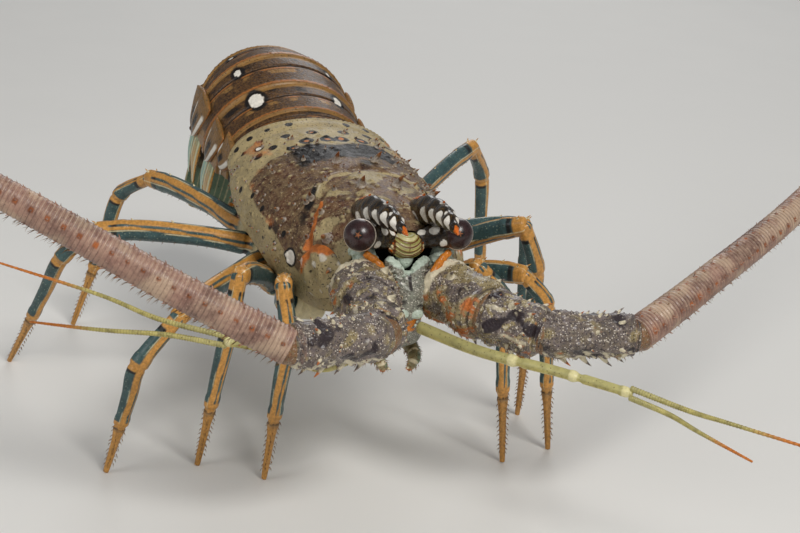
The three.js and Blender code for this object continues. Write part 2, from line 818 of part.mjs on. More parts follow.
for (const [name, side] of Object.entries(sides)) {
  const centre = eyeCentre(side);
  const eye = ball(centre, [EYE_RADIUS, EYE_RADIUS, EYE_RADIUS]);
  const eyeClear = ball(centre, [EYE_RADIUS, EYE_RADIUS, EYE_RADIUS], GAP);
  head.add(meshOf(`eye_${name}`, eye, COLOURS.eye, 0.1));
  const stalk = cut(eyestalk(side), [eyeClear, shellClear, plateClear]);
  head.add(meshOf(`eyestalk_${name}`, stalk, COLOURS.horn));
  const hornCutters = [shellClear, eyeClear, eyestalk(side, GAP)];
  head.add(meshOf(`horn_${name}`, horn(side, hornCutters), COLOURS.horn, 0.4));
  const jaw = cut(maxilliped(side), [sternumClear, plateClear, shellClear]);
  head.add(meshOf(`maxilliped_${name}`, jaw, COLOURS.pale));

  // Each length of an antenna is cut clear of the one that carries it.
  const { joints } = ANTENNAE[name];
  let carrier = [shellClear, plateClear];
  ["base", "middle", "outer"].forEach((part, index) => {
    const segment = (grow) => [
      limb(antennaRows(joints, index), { sides: 10, steps: 6, grow }),
      ...antennaSpines(joints, index, side, grow),
    ];
    const made = cut(join(segment(0)), carrier);
    head.add(meshOf(`antenna_${part}_${name}`, made, COLOURS.antenna, 0.6));
    carrier = segment(GAP);
  });
  ["first", "second", "third"].forEach((part, index) => {
    const made = cut(lashLength(name, index), carrier);
    head.add(meshOf(`antenna_lash_${part}_${name}`, made, COLOURS.lash, 0.6));
    carrier = [lashLength(name, index, GAP)];
  });

  const antennule = ANTENNULES[name];
  const stalkRows = antennuleRows(antennule.joints);
  const stalkOptions = { sides: 7, steps: 9 };
  const peduncle = cut(limb(stalkRows, stalkOptions), [plateClear, shellClear]);
  head.add(meshOf(`antennule_${name}`, peduncle, COLOURS.thread));
  const peduncleClear = limb(stalkRows, { ...stalkOptions, grow: GAP });
  for (const part of ["upper", "lower"]) {
    const lift = part === "upper" ? 1 : -1;
    const start = antennule.joints[3].map((value, k) => value + (k === 2 ? lift * 1.25 : 0));
    const thread = limb(threadRows(start, antennule[part]), { sides: 5, steps: 6 });
    const made = cut(thread, [peduncleClear]);
    head.add(meshOf(`antennule_${part}_${name}`, made, COLOURS.thread));
  }

  for (let index = 0; index < 5; index += 1) {
    const number = index + 1;
    const rows = upperLegRows(name, index);
    const upper = join([upperLeg(name, index), ...kneeSpines(rows)]);
    const made = cut(upper, [shellClear, sternumClear]);
    legs.add(meshOf(`leg_${number}_upper_${name}`, made, COLOURS.leg));
    const lower = cut(lowerLeg(name, index), [upperLeg(name, index, GAP)]);
    legs.add(meshOf(`leg_${number}_lower_${name}`, lower, COLOURS.leg));
  }
}

// Each ring is cut clear of the one before it, and each blade of the ones above it.
let before = shellClear;
for (let index = 0; index < 6; index += 1) {
  tail.add(meshOf(`abdomen_${index + 1}`, cut(abdomenRing(index), [before]), COLOURS.tail));
  before = abdomenRing(index, GAP);
}
const telsonClear = fanBlade("telson", 1, GAP);
tail.add(meshOf("telson", cut(fanBlade("telson", 1), [before]), COLOURS.tail));
for (const [name, side] of Object.entries(sides)) {
  const above = [before, telsonClear];
  for (const kind of ["uropod_inner", "uropod_outer"]) {
    tail.add(meshOf(`${kind}_${name}`, cut(fanBlade(kind, side), above), COLOURS.tail));
    above.push(fanBlade(kind, side, GAP));
  }
}

// The middle of the model stands over the origin, with its feet on the floor.
const reach = new THREE.Box3().setFromObject(lobster);
const middle = reach.getCenter(new THREE.Vector3());
lobster.position.set(-middle.x, -middle.y, STANCE_HEIGHT);

export default lobster;
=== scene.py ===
"""A spiny lobster, life size, standing with its antennae spread: the visible model.

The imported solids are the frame. Each piece here is a finer form of one solid, worked
out in millimetres in the body's own frame and then set in place in metres.
"""

import math

import bpy
import numpy as np
from mathutils import Matrix, Vector


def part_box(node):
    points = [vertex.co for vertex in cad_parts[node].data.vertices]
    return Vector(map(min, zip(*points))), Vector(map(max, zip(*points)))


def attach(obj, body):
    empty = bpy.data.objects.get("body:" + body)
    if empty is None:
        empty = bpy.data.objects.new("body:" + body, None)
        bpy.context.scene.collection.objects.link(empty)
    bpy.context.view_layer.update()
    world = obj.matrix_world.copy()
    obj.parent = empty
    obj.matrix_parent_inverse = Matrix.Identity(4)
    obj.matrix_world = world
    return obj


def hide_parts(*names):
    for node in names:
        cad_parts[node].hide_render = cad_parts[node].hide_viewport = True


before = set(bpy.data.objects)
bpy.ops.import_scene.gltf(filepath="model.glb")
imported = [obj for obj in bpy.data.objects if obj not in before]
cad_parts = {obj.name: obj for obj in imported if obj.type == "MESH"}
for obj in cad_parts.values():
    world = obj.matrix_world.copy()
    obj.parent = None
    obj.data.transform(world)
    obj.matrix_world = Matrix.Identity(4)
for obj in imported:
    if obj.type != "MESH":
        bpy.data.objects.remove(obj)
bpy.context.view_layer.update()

bl_info = {
    "name": "Spiny lobster",
    "version": (1, 0, 0),
    "blender": (4, 5, 0),
    "location": "3D View > Sidebar > Lobster",
    "description": "Dresses the solids of a life-size spiny lobster model",
    "category": "Object",
}

# The body's own frame: +X is the animal's left, -Y its front, +Z up, in millimetres.
# The middle between the eyes is known in that frame, which gives the shift to the row.
EYE_MIDDLE = np.array([0.0, -3.0, 29.0])
EYE_OUT = 13.9
EYE_RADIUS = 4.5
CARAPACE_LENGTH = 85.0
FLOOR = -44.0
SIDES = {"right": -1, "left": 1}
X_AXIS, Y_AXIS, Z_AXIS = np.eye(3)


def box_middle(node):
    low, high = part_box(node)
    return (np.array(low) + np.array(high)) * 500


SHIFT = (box_middle("eye_right") + box_middle("eye_left")) / 2 - EYE_MIDDLE


def colour(red, green, blue):
    """A colour from screen values of 0 to 255, in the linear values that shaders use."""
    return tuple((value / 255) ** 2.2 for value in (red, green, blue))


# Sizes and tables, the same as those of the solids

SHELL = np.array(
    [
        [1, 16, 29.5, 17, 6],
        [8, 20, 33, 16, 4],
        [18, 23.5, 35.3, 15, 3.5],
        [32, 27, 36.8, 16, 6],
        [48, 29.3, 37.8, 18.5, 10],
        [64, 29.6, 39, 21, 13],
        [76, 28.2, 40, 24, 17],
        [CARAPACE_LENGTH, 26.2, 40.5, 28, 24],
    ]
)
SHELL_ARCH = math.radians(115)
ARCH_LIMIT = math.pi * 0.82
TAIL_LINE = np.array(
    [
        [86.3, 38.9, 23.5, 21],
        [93, 42, 25, 23],
        [107.5, 47.6, 26, 24.5],
        [123.5, 53, 26, 25],
        [139, 51.5, 24.5, 24],
        [151.5, 43, 22.5, 21.5],
        [159.5, 27.5, 19.5, 17.5],
    ]
)
RING_PITCH = 15
PLEURON_LENGTH = [5, 10, 11, 11, 10, 5]
SWIMMERET_LENGTH = [0, 28, 28, 18, 13, 0]
FAN_PITCH = math.radians(100)
FAN_BLADES = {
    "telson": (0, 0, 37, 10, 0),
    "uropod_inner": (8, -2.6, 35, 8.2, 5),
    "uropod_outer": (15, -5.2, 36, 8.8, 8.5),
}
COXA_FRONT, COXA_PITCH, COXA_INNER, FOOT_FLAT = 30, 10.4, 12.5, 1.1
LEGS = {
    "right": [
        ((-31.8, 4.5, 13), (-30.5, 1, -1), (-33, 5)),
        ((-42.3, 11, 13.6), (-44.5, 10, -1), (-49, 17)),
        ((-57.5, 15, 1), (-67.5, 15, -12), (-75, 16)),
        ((-68.5, 73, 8), (-77, 80, -2), (-88, 104)),
        ((-43, 116, 12.5), (-50, 127, 4), (-62, 136)),
    ],
    "left": [
        ((27, 8, 15.4), (35, 7, 6), (40, 6)),
        ((44, 14, 11), (51, 12, 2.5), (58, 13)),
        ((47, 24, 22.8), (53, 25, 9), (60, 40)),
        ((72, 74, 7.5), (75, 77, -6), (80, 84)),
        ((63, 103, 26.5), (72, 113, 14), (84, 128)),
    ],
}
ANTENNA_JOINTS = {
    "right": [(-11, 0, 13.5), (-15.4, -18, 14.5), (-18.3, -35, 12.5), (-44.6, -42.7, 13.2)],
    "left": [(11, 0, 13.5), (18, -20, 12), (28.8, -32, 10), (52.5, -39.6, 11.6)],
}
LASH_LINE = {
    "right": [(-70, -33.5, 25), (-111, -19, 45.8), (-178, 12, 77), (-250, 62, 104)]
    + [(-312, 128, 118)],
    "left": [(77.5, -26.7, 20), (123, -1.5, 36), (186, 40, 62), (250, 92, 86)]
    + [(300, 152, 100)],
}
ANTENNA_RADII = [9, 8.4, 7.9, 7, 6.6, 5.7]
LASH_RADII = [4.7, 4.3, 3.9, 3.1, 2.1, 0.7]
LASH_CUTS = [0, 0.3, 0.62, 1]
ANTENNULE_JOINTS = {
    "right": [(-3.4, -9.5, 4.2), (-28, -25, 0.8), (-41, -21, 4.2), (-52.2, -14.3, 4.6)],
    "left": [(3.4, -9.5, 4.6), (13.8, -27.6, 3.9), (27.7, -45.7, 4.6), (41.5, -59.5, 3.5)],
}
THREADS = {
    "right": {
        "upper": [(-67.5, -3.8, 7.4), (-80.7, 7.1, 10.6), (-104, 24.5, 14.3)],
        "lower": [(-66.3, -8.2, 4.6), (-81.8, -1.9, 4.2), (-99, 4.9, 4.6)],
    },
    "left": {
        "upper": [(53, -69.4, 2.1), (62.3, -76.5, 0.7), (84, -94, -2.4)],
        "lower": [(48, -68.6, 1), (53.1, -75.7, -1.2), (60.7, -88.6, -3.8)],
    },
}
SPINE_ROWS = [
    (12, 55, 74, 3, 1.6),
    (27, 24, 74, 6, 2.3),
    (46, 18, 74, 6, 2.4),
    (68, 14, 74, 6, 2),
    (92, 12, 70, 5, 1.4),
]
SPINE_PAIRS = [(22.5, 12, 4.2), (43, 12, 4), (10, 62, 4.4), (28, 44, 3.4), (5, 88, 3.2)]
FULL = 2 * math.pi


# Number helpers

STREAM_FACTOR, STREAM_LIMIT = 16807, 2**31 - 1


def stream(seed):
    """A steady stream of numbers from 0 to 1, the same at every run."""
    while True:
        seed = seed * STREAM_FACTOR % STREAM_LIMIT
        yield seed / STREAM_LIMIT


def unit(vectors):
    vectors = np.asarray(vectors, float)
    return vectors / np.maximum(np.linalg.norm(vectors, axis=-1, keepdims=True), 1e-9)


def ease(low, high, value):
    """0 below low, 1 above high, with a soft step between; low may be the higher one."""
    t = np.clip((np.asarray(value, float) - low) / (high - low), 0, 1)
    return t * t * (3 - 2 * t)


def band(value, middle, half, soft):
    """1 within half of the middle, falling to 0 over soft."""
    return 1 - ease(half, half + soft, np.abs(np.asarray(value, float) - middle))


def most(*values):
    """The highest of several masks at each point."""
    return np.maximum.reduce(np.broadcast_arrays(*values))


def bands(value, places, half, soft):
    """The same band round each of several places."""
    return most(*(band(value, place, half, soft) for place in places))


def wobble(points, scale, seed=0):
    """Smooth unevenness from -1 to 1 over a set of points, for ragged edges of marks."""
    x, y, z = np.moveaxis(np.asarray(points, float) / scale + seed * 1.7, -1, 0)
    waves = np.sin(1.3 * x + 2.1 * np.sin(0.7 * y + z))
    waves = waves + np.sin(1.7 * y + 1.9 * np.sin(0.9 * z + x))
    waves = waves + np.sin(2.3 * z + 1.4 * np.sin(1.1 * x - y))
    return (waves + 0.6 * np.sin(3.1 * (x + y - z))) / 3.6


def around(sides):
    """Turns evenly spread round a full circle."""
    return np.linspace(0, FULL, sides, endpoint=False)


def grid(first, second):
    return np.meshgrid(first, second, indexing="ij")


def turn_gap(angle, turn):
    """The turn between two directions, from minus to plus a half circle."""
    return (angle - turn + math.pi) % FULL - math.pi


def mirrored(side, rows):
    """Rows that are given for the left, on either side."""
    return [(side * x, *rest) for x, *rest in rows]


def station(rows, x):
    """The rows' other columns at each x, on a smooth curve through the rows."""
    rows = np.asarray(rows, float)
    x = np.atleast_1d(np.asarray(x, float))
    i = np.searchsorted(rows[1:-1, 0], x, side="left")
    before, after = np.maximum(i - 1, 0), np.minimum(i + 2, len(rows) - 1)
    a, b, c, d = rows[i], rows[i + 1], rows[before], rows[after]
    span = b[:, :1] - a[:, :1]
    t = np.clip((x[:, None] - a[:, :1]) / span, 0, 1)
    slope_a = (b - c) / (b[:, :1] - c[:, :1]) * span
    slope_b = (d - a) / (d[:, :1] - a[:, :1]) * span
    t2, t3 = t * t, t * t * t
    mixed = (2 * t3 - 3 * t2 + 1) * a + (t3 - 2 * t2 + t) * slope_a
    return (mixed + (3 * t2 - 2 * t3) * b + (t3 - t2) * slope_b)[:, 1:]


def through(points, t):
    """Points at shares t of a smooth curve through the given points."""
    points = np.asarray(points, float)
    wide = np.vstack([2 * points[0] - points[1], points, 2 * points[-1] - points[-2]])
    place = np.clip(np.atleast_1d(t), 0, 1) * (len(points) - 1)
    i = np.minimum(place.astype(int), len(points) - 2)
    w = (place - i)[:, None]
    p0, p1, p2, p3 = wide[i], wide[i + 1], wide[i + 2], wide[i + 3]
    v1, v2 = (p2 - p0) / 2, (p3 - p1) / 2
    return p1 + v1 * w + (3 * (p2 - p1) - 2 * v1 - v2) * w**2 + (2 * (p1 - p2) + v1 + v2) * w**3


def heading(points, t):
    """The unit direction of that curve at shares t."""
    t = np.atleast_1d(np.asarray(t, float))
    step = 1e-4
    return unit(through(points, np.minimum(t + step, 1)) - through(points, np.maximum(t - step, 0)))


def curve_length(points, t):
    """Lengths along a curve at increasing shares t."""
    steps = np.linalg.norm(np.diff(through(points, t), axis=0), axis=1)
    return np.concatenate([[0], np.cumsum(steps)])


# Mesh kit


class Form:
    """Points, faces and marks of one piece. The marks are pale, gold, dark and second."""

    def __init__(self):
        self.points, self.marks, self.quads, self.tris, self.patches = [], [], [], [], []
        self.count = 0

    def add(self, points, quads, tris, marks):
        self.points.append(points)
        self.marks.append(np.clip(marks, 0, 1))
        self.quads.append(quads + self.count)
        self.tris.append(tris + self.count)
        self.count += len(points)
        return self


def make(name, form, material, node=None):
    """Builds the object of a form, in metres in the row's frame."""
    points = (np.vstack(form.points) + SHIFT) / 1000
    quads, tris = np.vstack(form.quads), np.vstack(form.tris)
    corners = np.concatenate([quads.ravel(), tris.ravel()]).astype(np.int32)
    sizes = np.concatenate([np.full(len(quads), 4), np.full(len(tris), 3)])
    mesh = bpy.data.meshes.new(name)
    mesh.vertices.add(len(points))
    mesh.vertices.foreach_set("co", points.astype(np.float32).ravel())
    mesh.loops.add(len(corners))
    mesh.loops.foreach_set("vertex_index", corners)
    mesh.polygons.add(len(sizes))
    starts = np.concatenate([[0], np.cumsum(sizes)[:-1]]).astype(np.int32)
    mesh.polygons.foreach_set("loop_start", starts)
    mesh.polygons.foreach_set("use_smooth", np.ones(len(sizes), bool))
    marks = mesh.attributes.new("marks", "FLOAT_COLOR", "POINT")
    marks.data.foreach_set("color", np.vstack(form.marks).astype(np.float32).ravel())
    if form.patches:
        layer = mesh.uv_layers.new(name="OFBake")
        patches = np.vstack(form.patches)[corners]
        layer.data.foreach_set("uv", patches.astype(np.float32).ravel())
    mesh.update(calc_edges=True)
    mesh.validate()
    mesh.materials.append(bpy.data.materials[f"{material} finish"])
    piece = bpy.data.objects.new(name, mesh)
    bpy.context.scene.collection.objects.link(piece)
    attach(piece, "root")
    if node:
        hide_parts(node)


def dress(node, form, material):
    """Builds the finer form of one solid, which it replaces."""
    make(f"{node}_fine", form, material, node)


def closed_tube(form, rings, marks):
    """Adds rings of points, as steps x sides x 3, closed at both ends by fans."""
    steps, sides = rings.shape[:2]
    marks = np.broadcast_to(marks, (steps, sides, 4)).reshape(-1, 4)
    i, j = grid(np.arange(steps - 1), np.arange(sides))
    k = (j + 1) % sides
    here, there = i * sides, (i + 1) * sides
    quads = np.stack([here + j, here + k, there + k, there + j], axis=-1).reshape(-1, 4)
    j, k, base, last = j[0], k[0], (steps - 1) * sides, steps * sides
    start = np.stack([np.full(sides, last), k, j], axis=1)
    end = np.stack([np.full(sides, last + 1), base + j, base + k], axis=1)
    points = np.vstack([rings.reshape(-1, 3), rings[0].mean(0), rings[-1].mean(0)])
    marks = np.vstack([marks, marks[:1], marks[-1:]])
    return form.add(points, quads, np.vstack([start, end]), marks)


def frames(line, t, up):
    """Centre, direction, side and normal at shares t of a line."""
    tangent = heading(line, t)
    side = unit(np.cross(tangent, up))
    return through(line, t), tangent, side, np.cross(side, tangent)


def place_on(rows, t, up=Z_AXIS):
    """Centre, direction, side, normal and half sizes of a limb at one share t."""
    rows = np.asarray(rows, float)
    return (*(value[0] for value in frames(rows[:, :3], t, up)), through(rows[:, 3:5], t)[0])


CAP_STEPS = 5
CAP_TURNS = np.linspace(0, 1, CAP_STEPS + 1)[1:] * math.pi / 2


def limb(
    rows, sides, steps, skin, marks, up=Z_AXIS, start=0.0, end=1.0, caps=(0.5, 0.5), form=None
):
    """A limb along a smooth line: each row is x, y, z, half width, half depth.

    skin(t, angle) lifts the skin in millimetres, and marks(t, angle, points) colours it.
    caps are how far its two ends bulge, in half widths.
    """
    rows = np.asarray(rows, float)
    t = np.linspace(start, end, steps + 1)
    size = through(rows[:, 3:5], t)
    bulge, narrowing = np.sin(CAP_TURNS), np.cos(CAP_TURNS * 0.97)
    first, last = (CAP_STEPS if cap else 0 for cap in caps)
    scale = np.concatenate([narrowing[::-1][:first], np.ones(len(t)), narrowing[:last]])
    push = np.zeros(len(scale))
    push[:first] = -bulge[::-1][:first] * caps[0] * size[0].min()
    push[first + len(t) :] = bulge[:last] * caps[1] * size[-1].min()
    t = np.concatenate([np.full(first, start), t, np.full(last, end)])
    size = np.vstack([np.repeat(size[:1], first, 0), size, np.repeat(size[-1:], last, 0)])
    centre, tangent, side, normal = frames(rows[:, :3], t, up)
    centre = centre + tangent * push[:, None]
    ts, angles = grid(t, around(sides))
    lift = skin(ts, angles)
    across = (size[:, :1] + lift) * scale[:, None] * np.sin(angles)
    above = (size[:, 1:] + lift) * scale[:, None] * np.cos(angles)
    rings = centre[:, None] + side[:, None] * across[..., None]
    rings = rings + normal[:, None] * above[..., None]
    return closed_tube(form or Form(), rings, marks(ts, angles, rings))


def ball(form, centre, radii, sides, steps, marks, skin=None):
    """An ellipsoid whose grid runs round the upright."""
    polar, angle = grid(np.linspace(0.03, math.pi - 0.03, steps), around(sides))
    side = unit(np.cross(Z_AXIS, np.array([0.3, 0.9, 0.2])))
    other = np.cross(Z_AXIS, side)
    out = Z_AXIS * np.cos(polar)[..., None] + side * (np.sin(polar) * np.cos(angle))[..., None]
    out = -out - other * (np.sin(polar) * np.sin(angle))[..., None]
    points = out * np.asarray(radii, float)
    if skin:
        points = points + out * skin(points)[..., None]
    points = points + np.asarray(centre, float)
    return closed_tube(form, points, marks(polar, angle, points))


def channels(shape, pale=0, gold=0, dark=0, second=0):
    """The four marks as one array."""
    marks = (pale, gold, dark, second)
    return np.stack([np.broadcast_to(value, shape) for value in marks], axis=-1)


THORN_STEPS = np.array([-0.35, -0.05, 0.1, 0.28, 0.5, 0.72, 0.9, 0.985])
THORN_WIDTHS = np.array([1.25, 1.1, 0.86, 0.64, 0.45, 0.27, 0.13, 0.035])


def thorn(
    form, root, way, height, radius, lean=(0, 0, 0), colours=(0.9, 1.0, 0.0), sides=8
):
    """A curved spine, with its foot sunk in.

    colours are how pale its foot is, how gold its tip is and how dark the skin round it is.
    """
    root, way, lean = np.asarray(root, float), unit(way), np.asarray(lean, float)
    t = THORN_STEPS
    centre = root + way * (t * height)[:, None] + lean * (np.maximum(t, 0) ** 1.6)[:, None]
    tangent = unit(np.gradient(centre, axis=0))
    side = unit(np.cross(tangent, np.array([0.31, 0.22, 0.93])))[:, None]
    normal = np.cross(side, tangent[:, None])
    angle = around(sides)[None, :, None]
    out = side * np.sin(angle) + normal * np.cos(angle)
    rings = centre[:, None] + out * (radius * THORN_WIDTHS)[:, None, None]
    pale, gold, dark = colours
    share = np.broadcast_to(t[:, None], rings.shape[:2])
    pale, gold = pale * band(share, 0.3, 0.22, 0.25), gold * ease(0.38, 0.72, share)
    dark = dark * ease(0.12, -0.1, share)
    return closed_tube(form, rings, channels(share.shape, pale, gold, dark))


def beads(points, spots):
    """How far each point is lifted by round beads: each is its centre, radius and height."""
    lift = np.zeros(points.shape[:-1])
    for centre, radius, height in spots:
        near = np.abs(points - centre).max(axis=-1) < radius
        share = np.linalg.norm(points[near] - centre, axis=1) / radius
        lift[near] = np.maximum(lift[near], height * (1 - ease(0, 1, share)))
    return lift


# One hair: a three-sided foot, a middle and a tip, and how far each lies up its map patch.
HAIR_SPREAD = 0.35
HAIR_FACES = [
    face
    for i, j in ((0, 1), (1, 2), (2, 0))
    for face in ((i, j, 3 + j), (i, 3 + j, 3 + i), (3 + i, 3 + j, 6))
]
HAIR_FACES.append((2, 1, 0))
HAIR_MAP = (0, 0, 0, 0.0012, 0.0012, 0.0012, 0.0022)


def hairs(form, tufts, length, radius=0.08, count=3, droop=0.2, seed=3):
    """Solid hairs in tufts. Each tuft is its root, direction and patch of the colour map."""
    draw = stream(seed)
    points, places = [], []
    corner = (np.arange(3) * 2 * math.pi / 3)[:, None]
    for root, direction, patch in tufts:
        direction = unit(direction)
        for n in range(count):
            lean = np.array([next(draw) - 0.5 for _ in range(3)]) * 2 * HAIR_SPREAD
            way = unit(direction + lean)
            reach = length * (0.65 + 0.5 * next(draw))
            side = unit(np.cross(way, np.array([0.2, 0.5, 0.84])))
            ring = side * np.cos(corner) + np.cross(side, way) * np.sin(corner)
            begin = root + side * 0.12 * n - way * 0.3
            bend = np.array([0, 0, -droop * reach])
            middle = begin + way * reach * 0.55 + bend * 0.3
            tip = begin + way * reach + bend
            points += [begin + ring * radius, middle + ring * radius * 0.7, tip[None]]
            share = 0.0005 + 0.002 * n / count
            places += [(patch[0] + share, patch[1] + along) for along in HAIR_MAP]
    foot = np.arange(len(places) // len(HAIR_MAP))[:, None, None] * len(HAIR_MAP)
    tris = (foot + np.array(HAIR_FACES)).reshape(-1, 3)
    form.patches.append(np.array(places))
    form.add(np.vstack(points), np.zeros((0, 4), int), tris, np.zeros((len(places), 4)))


# Materials


class Graph:
    """Short ways to place and link shader nodes."""

    def __init__(self, tree):
        self.tree = tree

    def node(self, kind, inputs=(), **settings):
        made = self.tree.nodes.new(kind)
        for name, value in settings.items():
            setattr(made, name, value)
        for name, value in dict(inputs).items():
            self.feed(made.inputs[name], value)
        return made

    def feed(self, socket, value):
        if isinstance(value, bpy.types.NodeSocket):
            self.tree.links.new(value, socket)
        elif socket.type == "RGBA":
            socket.default_value = (*value, 1)
        else:
            socket.default_value = value

    def sum(self, kind, first, second):
        return self.node("ShaderNodeMath", {0: first, 1: second}, operation=kind).outputs[0]

    def blend(self, share, first, second):
        """A mix of two colours. The node's colour sockets are the sixth, seventh and second."""
        inputs = {0: share, 6: first, 7: second}
        return self.node("ShaderNodeMix", inputs, data_type="RGBA").outputs[2]

    def remap(self, value, low, high, to_low=0.0, to_high=1.0):
        inputs = {"Value": value, "From Min": low, "From Max": high}
        inputs |= {"To Min": to_low, "To Max": to_high}
        return self.node("ShaderNodeMapRange", inputs, interpolation_type="SMOOTHSTEP").outputs[0]

    def place(self):
        """Object coordinates in millimetres."""
        here = self.node("ShaderNodeTexCoord").outputs["Object"]
        inputs = {0: here, "Scale": 1000}
        return self.node("ShaderNodeVectorMath", inputs, operation="SCALE").outputs[0]

    def noise(self, vector, scale, detail, rough=0.6):
        inputs = {"Vector": vector, "Scale": scale, "Detail": detail, "Roughness": rough}
        return self.node("ShaderNodeTexNoise", inputs).outputs["Fac"]

    def cells(self, vector, scale):
        return self.node("ShaderNodeTexVoronoi", {"Vector": vector, "Scale": scale}).outputs

    def group(self, label, **inputs):
        tree = bpy.data.node_groups[label]
        return self.node("ShaderNodeGroup", inputs, node_tree=tree).outputs

    def bump(self, shader, strength, distance, height):
        inputs = {"Strength": strength, "Distance": distance, "Height": height}
        self.feed(shader.inputs["Normal"], self.node("ShaderNodeBump", inputs).outputs[0])


def new_group(name, inputs, outputs):
    """An empty shader group with float inputs and outputs."""
    tree = bpy.data.node_groups.new(name, "ShaderNodeTree")
    for label, value in inputs.items():
        socket = tree.interface.new_socket(label, in_out="INPUT", socket_type="NodeSocketFloat")
        socket.default_value = value
    for label in outputs:
        tree.interface.new_socket(label, in_out="OUTPUT", socket_type="NodeSocketFloat")
    graph = Graph(tree)
    given, made = graph.node("NodeGroupInput"), graph.node("NodeGroupOutput")
    return graph, given.outputs, made.inputs


def build_groups():
    """The effects that several materials share."""
    labels = ["Pale", "Gold", "Dark", "Second"]
    graph, given, made = new_group("Ragged marks", {"Ragged": 0.5}, labels)
    marks = graph.node("ShaderNodeAttribute", attribute_name="marks").outputs
    split = graph.node("ShaderNodeSeparateColor", {"Color": marks["Color"]}).outputs
    rough = graph.sum("SUBTRACT", graph.noise(graph.place(), 1.3, 5.0), 0.5)
    offset = graph.sum("MULTIPLY", rough, given["Ragged"])
    for label, value in zip(labels, (*split, marks["Alpha"])):
        strength = graph.sum("MULTIPLY", offset, graph.remap(value, 0.0, 0.2))
        graph.feed(made[label], graph.remap(graph.sum("ADD", value, strength), 0.15, 0.85))

    graph, given, made = new_group("Speckle", {"Scale": 0.8, "Size": 0.3}, ["Mask"])
    cells = graph.cells(graph.place(), given["Scale"])
    split = graph.node("ShaderNodeSeparateColor", {"Color": cells["Color"]}).outputs
    size = graph.sum("MULTIPLY", given["Size"], split[0])
    edge = graph.sum("SUBTRACT", size, cells["Distance"])
    graph.feed(made["Mask"], graph.remap(edge, -0.02, 0.06))

    graph, given, made = new_group("Mottle", {"Scale": 0.3}, ["Value"])
    value = graph.noise(graph.place(), given["Scale"], 7.0, 0.66)
    graph.feed(made["Value"], graph.remap(value, 0.32, 0.68))

    inputs = {"Fine": 4.0, "Coarse": 1.1, "Pits": 0.5}
    graph, given, made = new_group("Shell grain", inputs, ["Height"])
    here = graph.place()
    fine = graph.noise(here, given["Fine"], 5.0)
    coarse = graph.cells(here, given["Coarse"])["Distance"]
    pits = graph.sum("MULTIPLY", graph.remap(coarse, 0.0, 0.55), given["Pits"])
    graph.feed(made["Height"], graph.sum("ADD", graph.sum("MULTIPLY", fine, 0.5), pits))


def new_finish(name):
    """A new material, with its graph and its shader."""
    material = bpy.data.materials.new(f"{name} finish")
    material.use_nodes = True
    return material, Graph(material.node_tree), material.node_tree.nodes["Principled BSDF"]


def tinted(share, tone):
    """A colour times a share, to shade it."""
    return tuple(value * share for value in tone)


SPECULAR_LEVEL, COAT_ROUGHNESS, EYE_COAT, EYE_COAT_ROUGHNESS = 0.3, 0.18, 0.15, 0.15
GRAIN_DEPTH, FACET_DEPTH = 0.0006, 0.0001
DARK_SPECKLE_SCALE = 1.37


def shell_finish(
    name,
    colours,
    roughness=0.4,
    coat=0.3,
    ragged=0.5,
    mottle=0.3,
    dark_speckle=(0.9, 0.3, 0.6),
    light_speckle=(0.7, 0.25, 0.3),
    bump=0.35,
):
    """A finish with four marks, mottling, dark and light speckles, and grain.

    colours are base, second, pale, gold, dark and the light speckle's own. A speckle is
    its scale, its size and how strong it is.
    """
    base, second, pale, gold, dark, light = colours
    material, graph, shader = new_finish(name)
    material.diffuse_color = (*base, 1)
    marks = graph.group("Ragged marks", Ragged=ragged)
    clouds = graph.group("Mottle", Scale=mottle)["Value"]
    fine_clouds = graph.group("Mottle", Scale=mottle * 4)["Value"]
    made = graph.blend(clouds, tinted(0.45, base), base)
    made = graph.blend(graph.sum("MULTIPLY", fine_clouds, 0.35), made, second)
    made = graph.blend(marks["Second"], made, graph.blend(clouds, tinted(0.7, second), second))
    speckles = ((light, light_speckle, 1), (dark, dark_speckle, DARK_SPECKLE_SCALE))
    for tone, (scale, size, share), finer in speckles:
        spots = graph.group("Speckle", Scale=scale * finer, Size=size)["Mask"]
        made = graph.blend(graph.sum("MULTIPLY", spots, share), made, tone)
    made = graph.blend(marks["Dark"], made, dark)
    made = graph.blend(marks["Gold"], made, graph.blend(fine_clouds, tinted(0.6, gold), gold))
    made = graph.blend(marks["Pale"], made, graph.blend(fine_clouds, tinted(0.82, pale), pale))
    graph.feed(shader.inputs["Base Color"], made)
    rough = graph.remap(fine_clouds, 0.0, 1.0, roughness * 0.75, roughness * 1.3)
    graph.feed(shader.inputs["Roughness"], rough)
    shader.inputs["Specular IOR Level"].default_value = SPECULAR_LEVEL
    shader.inputs["Coat Weight"].default_value = coat
    shader.inputs["Coat Roughness"].default_value = COAT_ROUGHNESS
    height = graph.group("Shell grain", Fine=4.0, Coarse=1.1, Pits=0.5)["Height"]
    graph.bump(shader, bump, GRAIN_DEPTH, height)


def eye_finish():
    """The cornea: a dark brown purple, with fine facets and a soft shine, a painted reflection ring
    near its rim and a painted eyeshine star in its middle.
    """
    _, graph, shader = new_finish("cornea")
    marks = graph.group("Ragged marks", Ragged=0.1)
    clouds = graph.group("Mottle", Scale=0.25)[0]
    made = graph.blend(clouds, colour(38, 22, 24), colour(58, 38, 38))
    made = graph.blend(marks["Dark"], made, colour(16, 10, 10))
    # Warm gold: the painted eyeshine star, a reflection in the middle of the cornea.
    made = graph.blend(marks["Gold"], made, colour(176, 108, 62))
    # Near white: the painted reflection ring near the cornea's rim.
    made = graph.blend(marks["Pale"], made, colour(226, 214, 200))
    graph.feed(shader.inputs["Base Color"], made)
    facets = graph.cells(graph.place(), 5.0)["Distance"]
    graph.feed(shader.inputs["Roughness"], graph.remap(facets, 0.0, 1.0, 0.24, 0.34))
    graph.bump(shader, 0.08, FACET_DEPTH, facets)
    shader.inputs["Coat Weight"].default_value = EYE_COAT
    shader.inputs["Coat Roughness"].default_value = EYE_COAT_ROUGHNESS


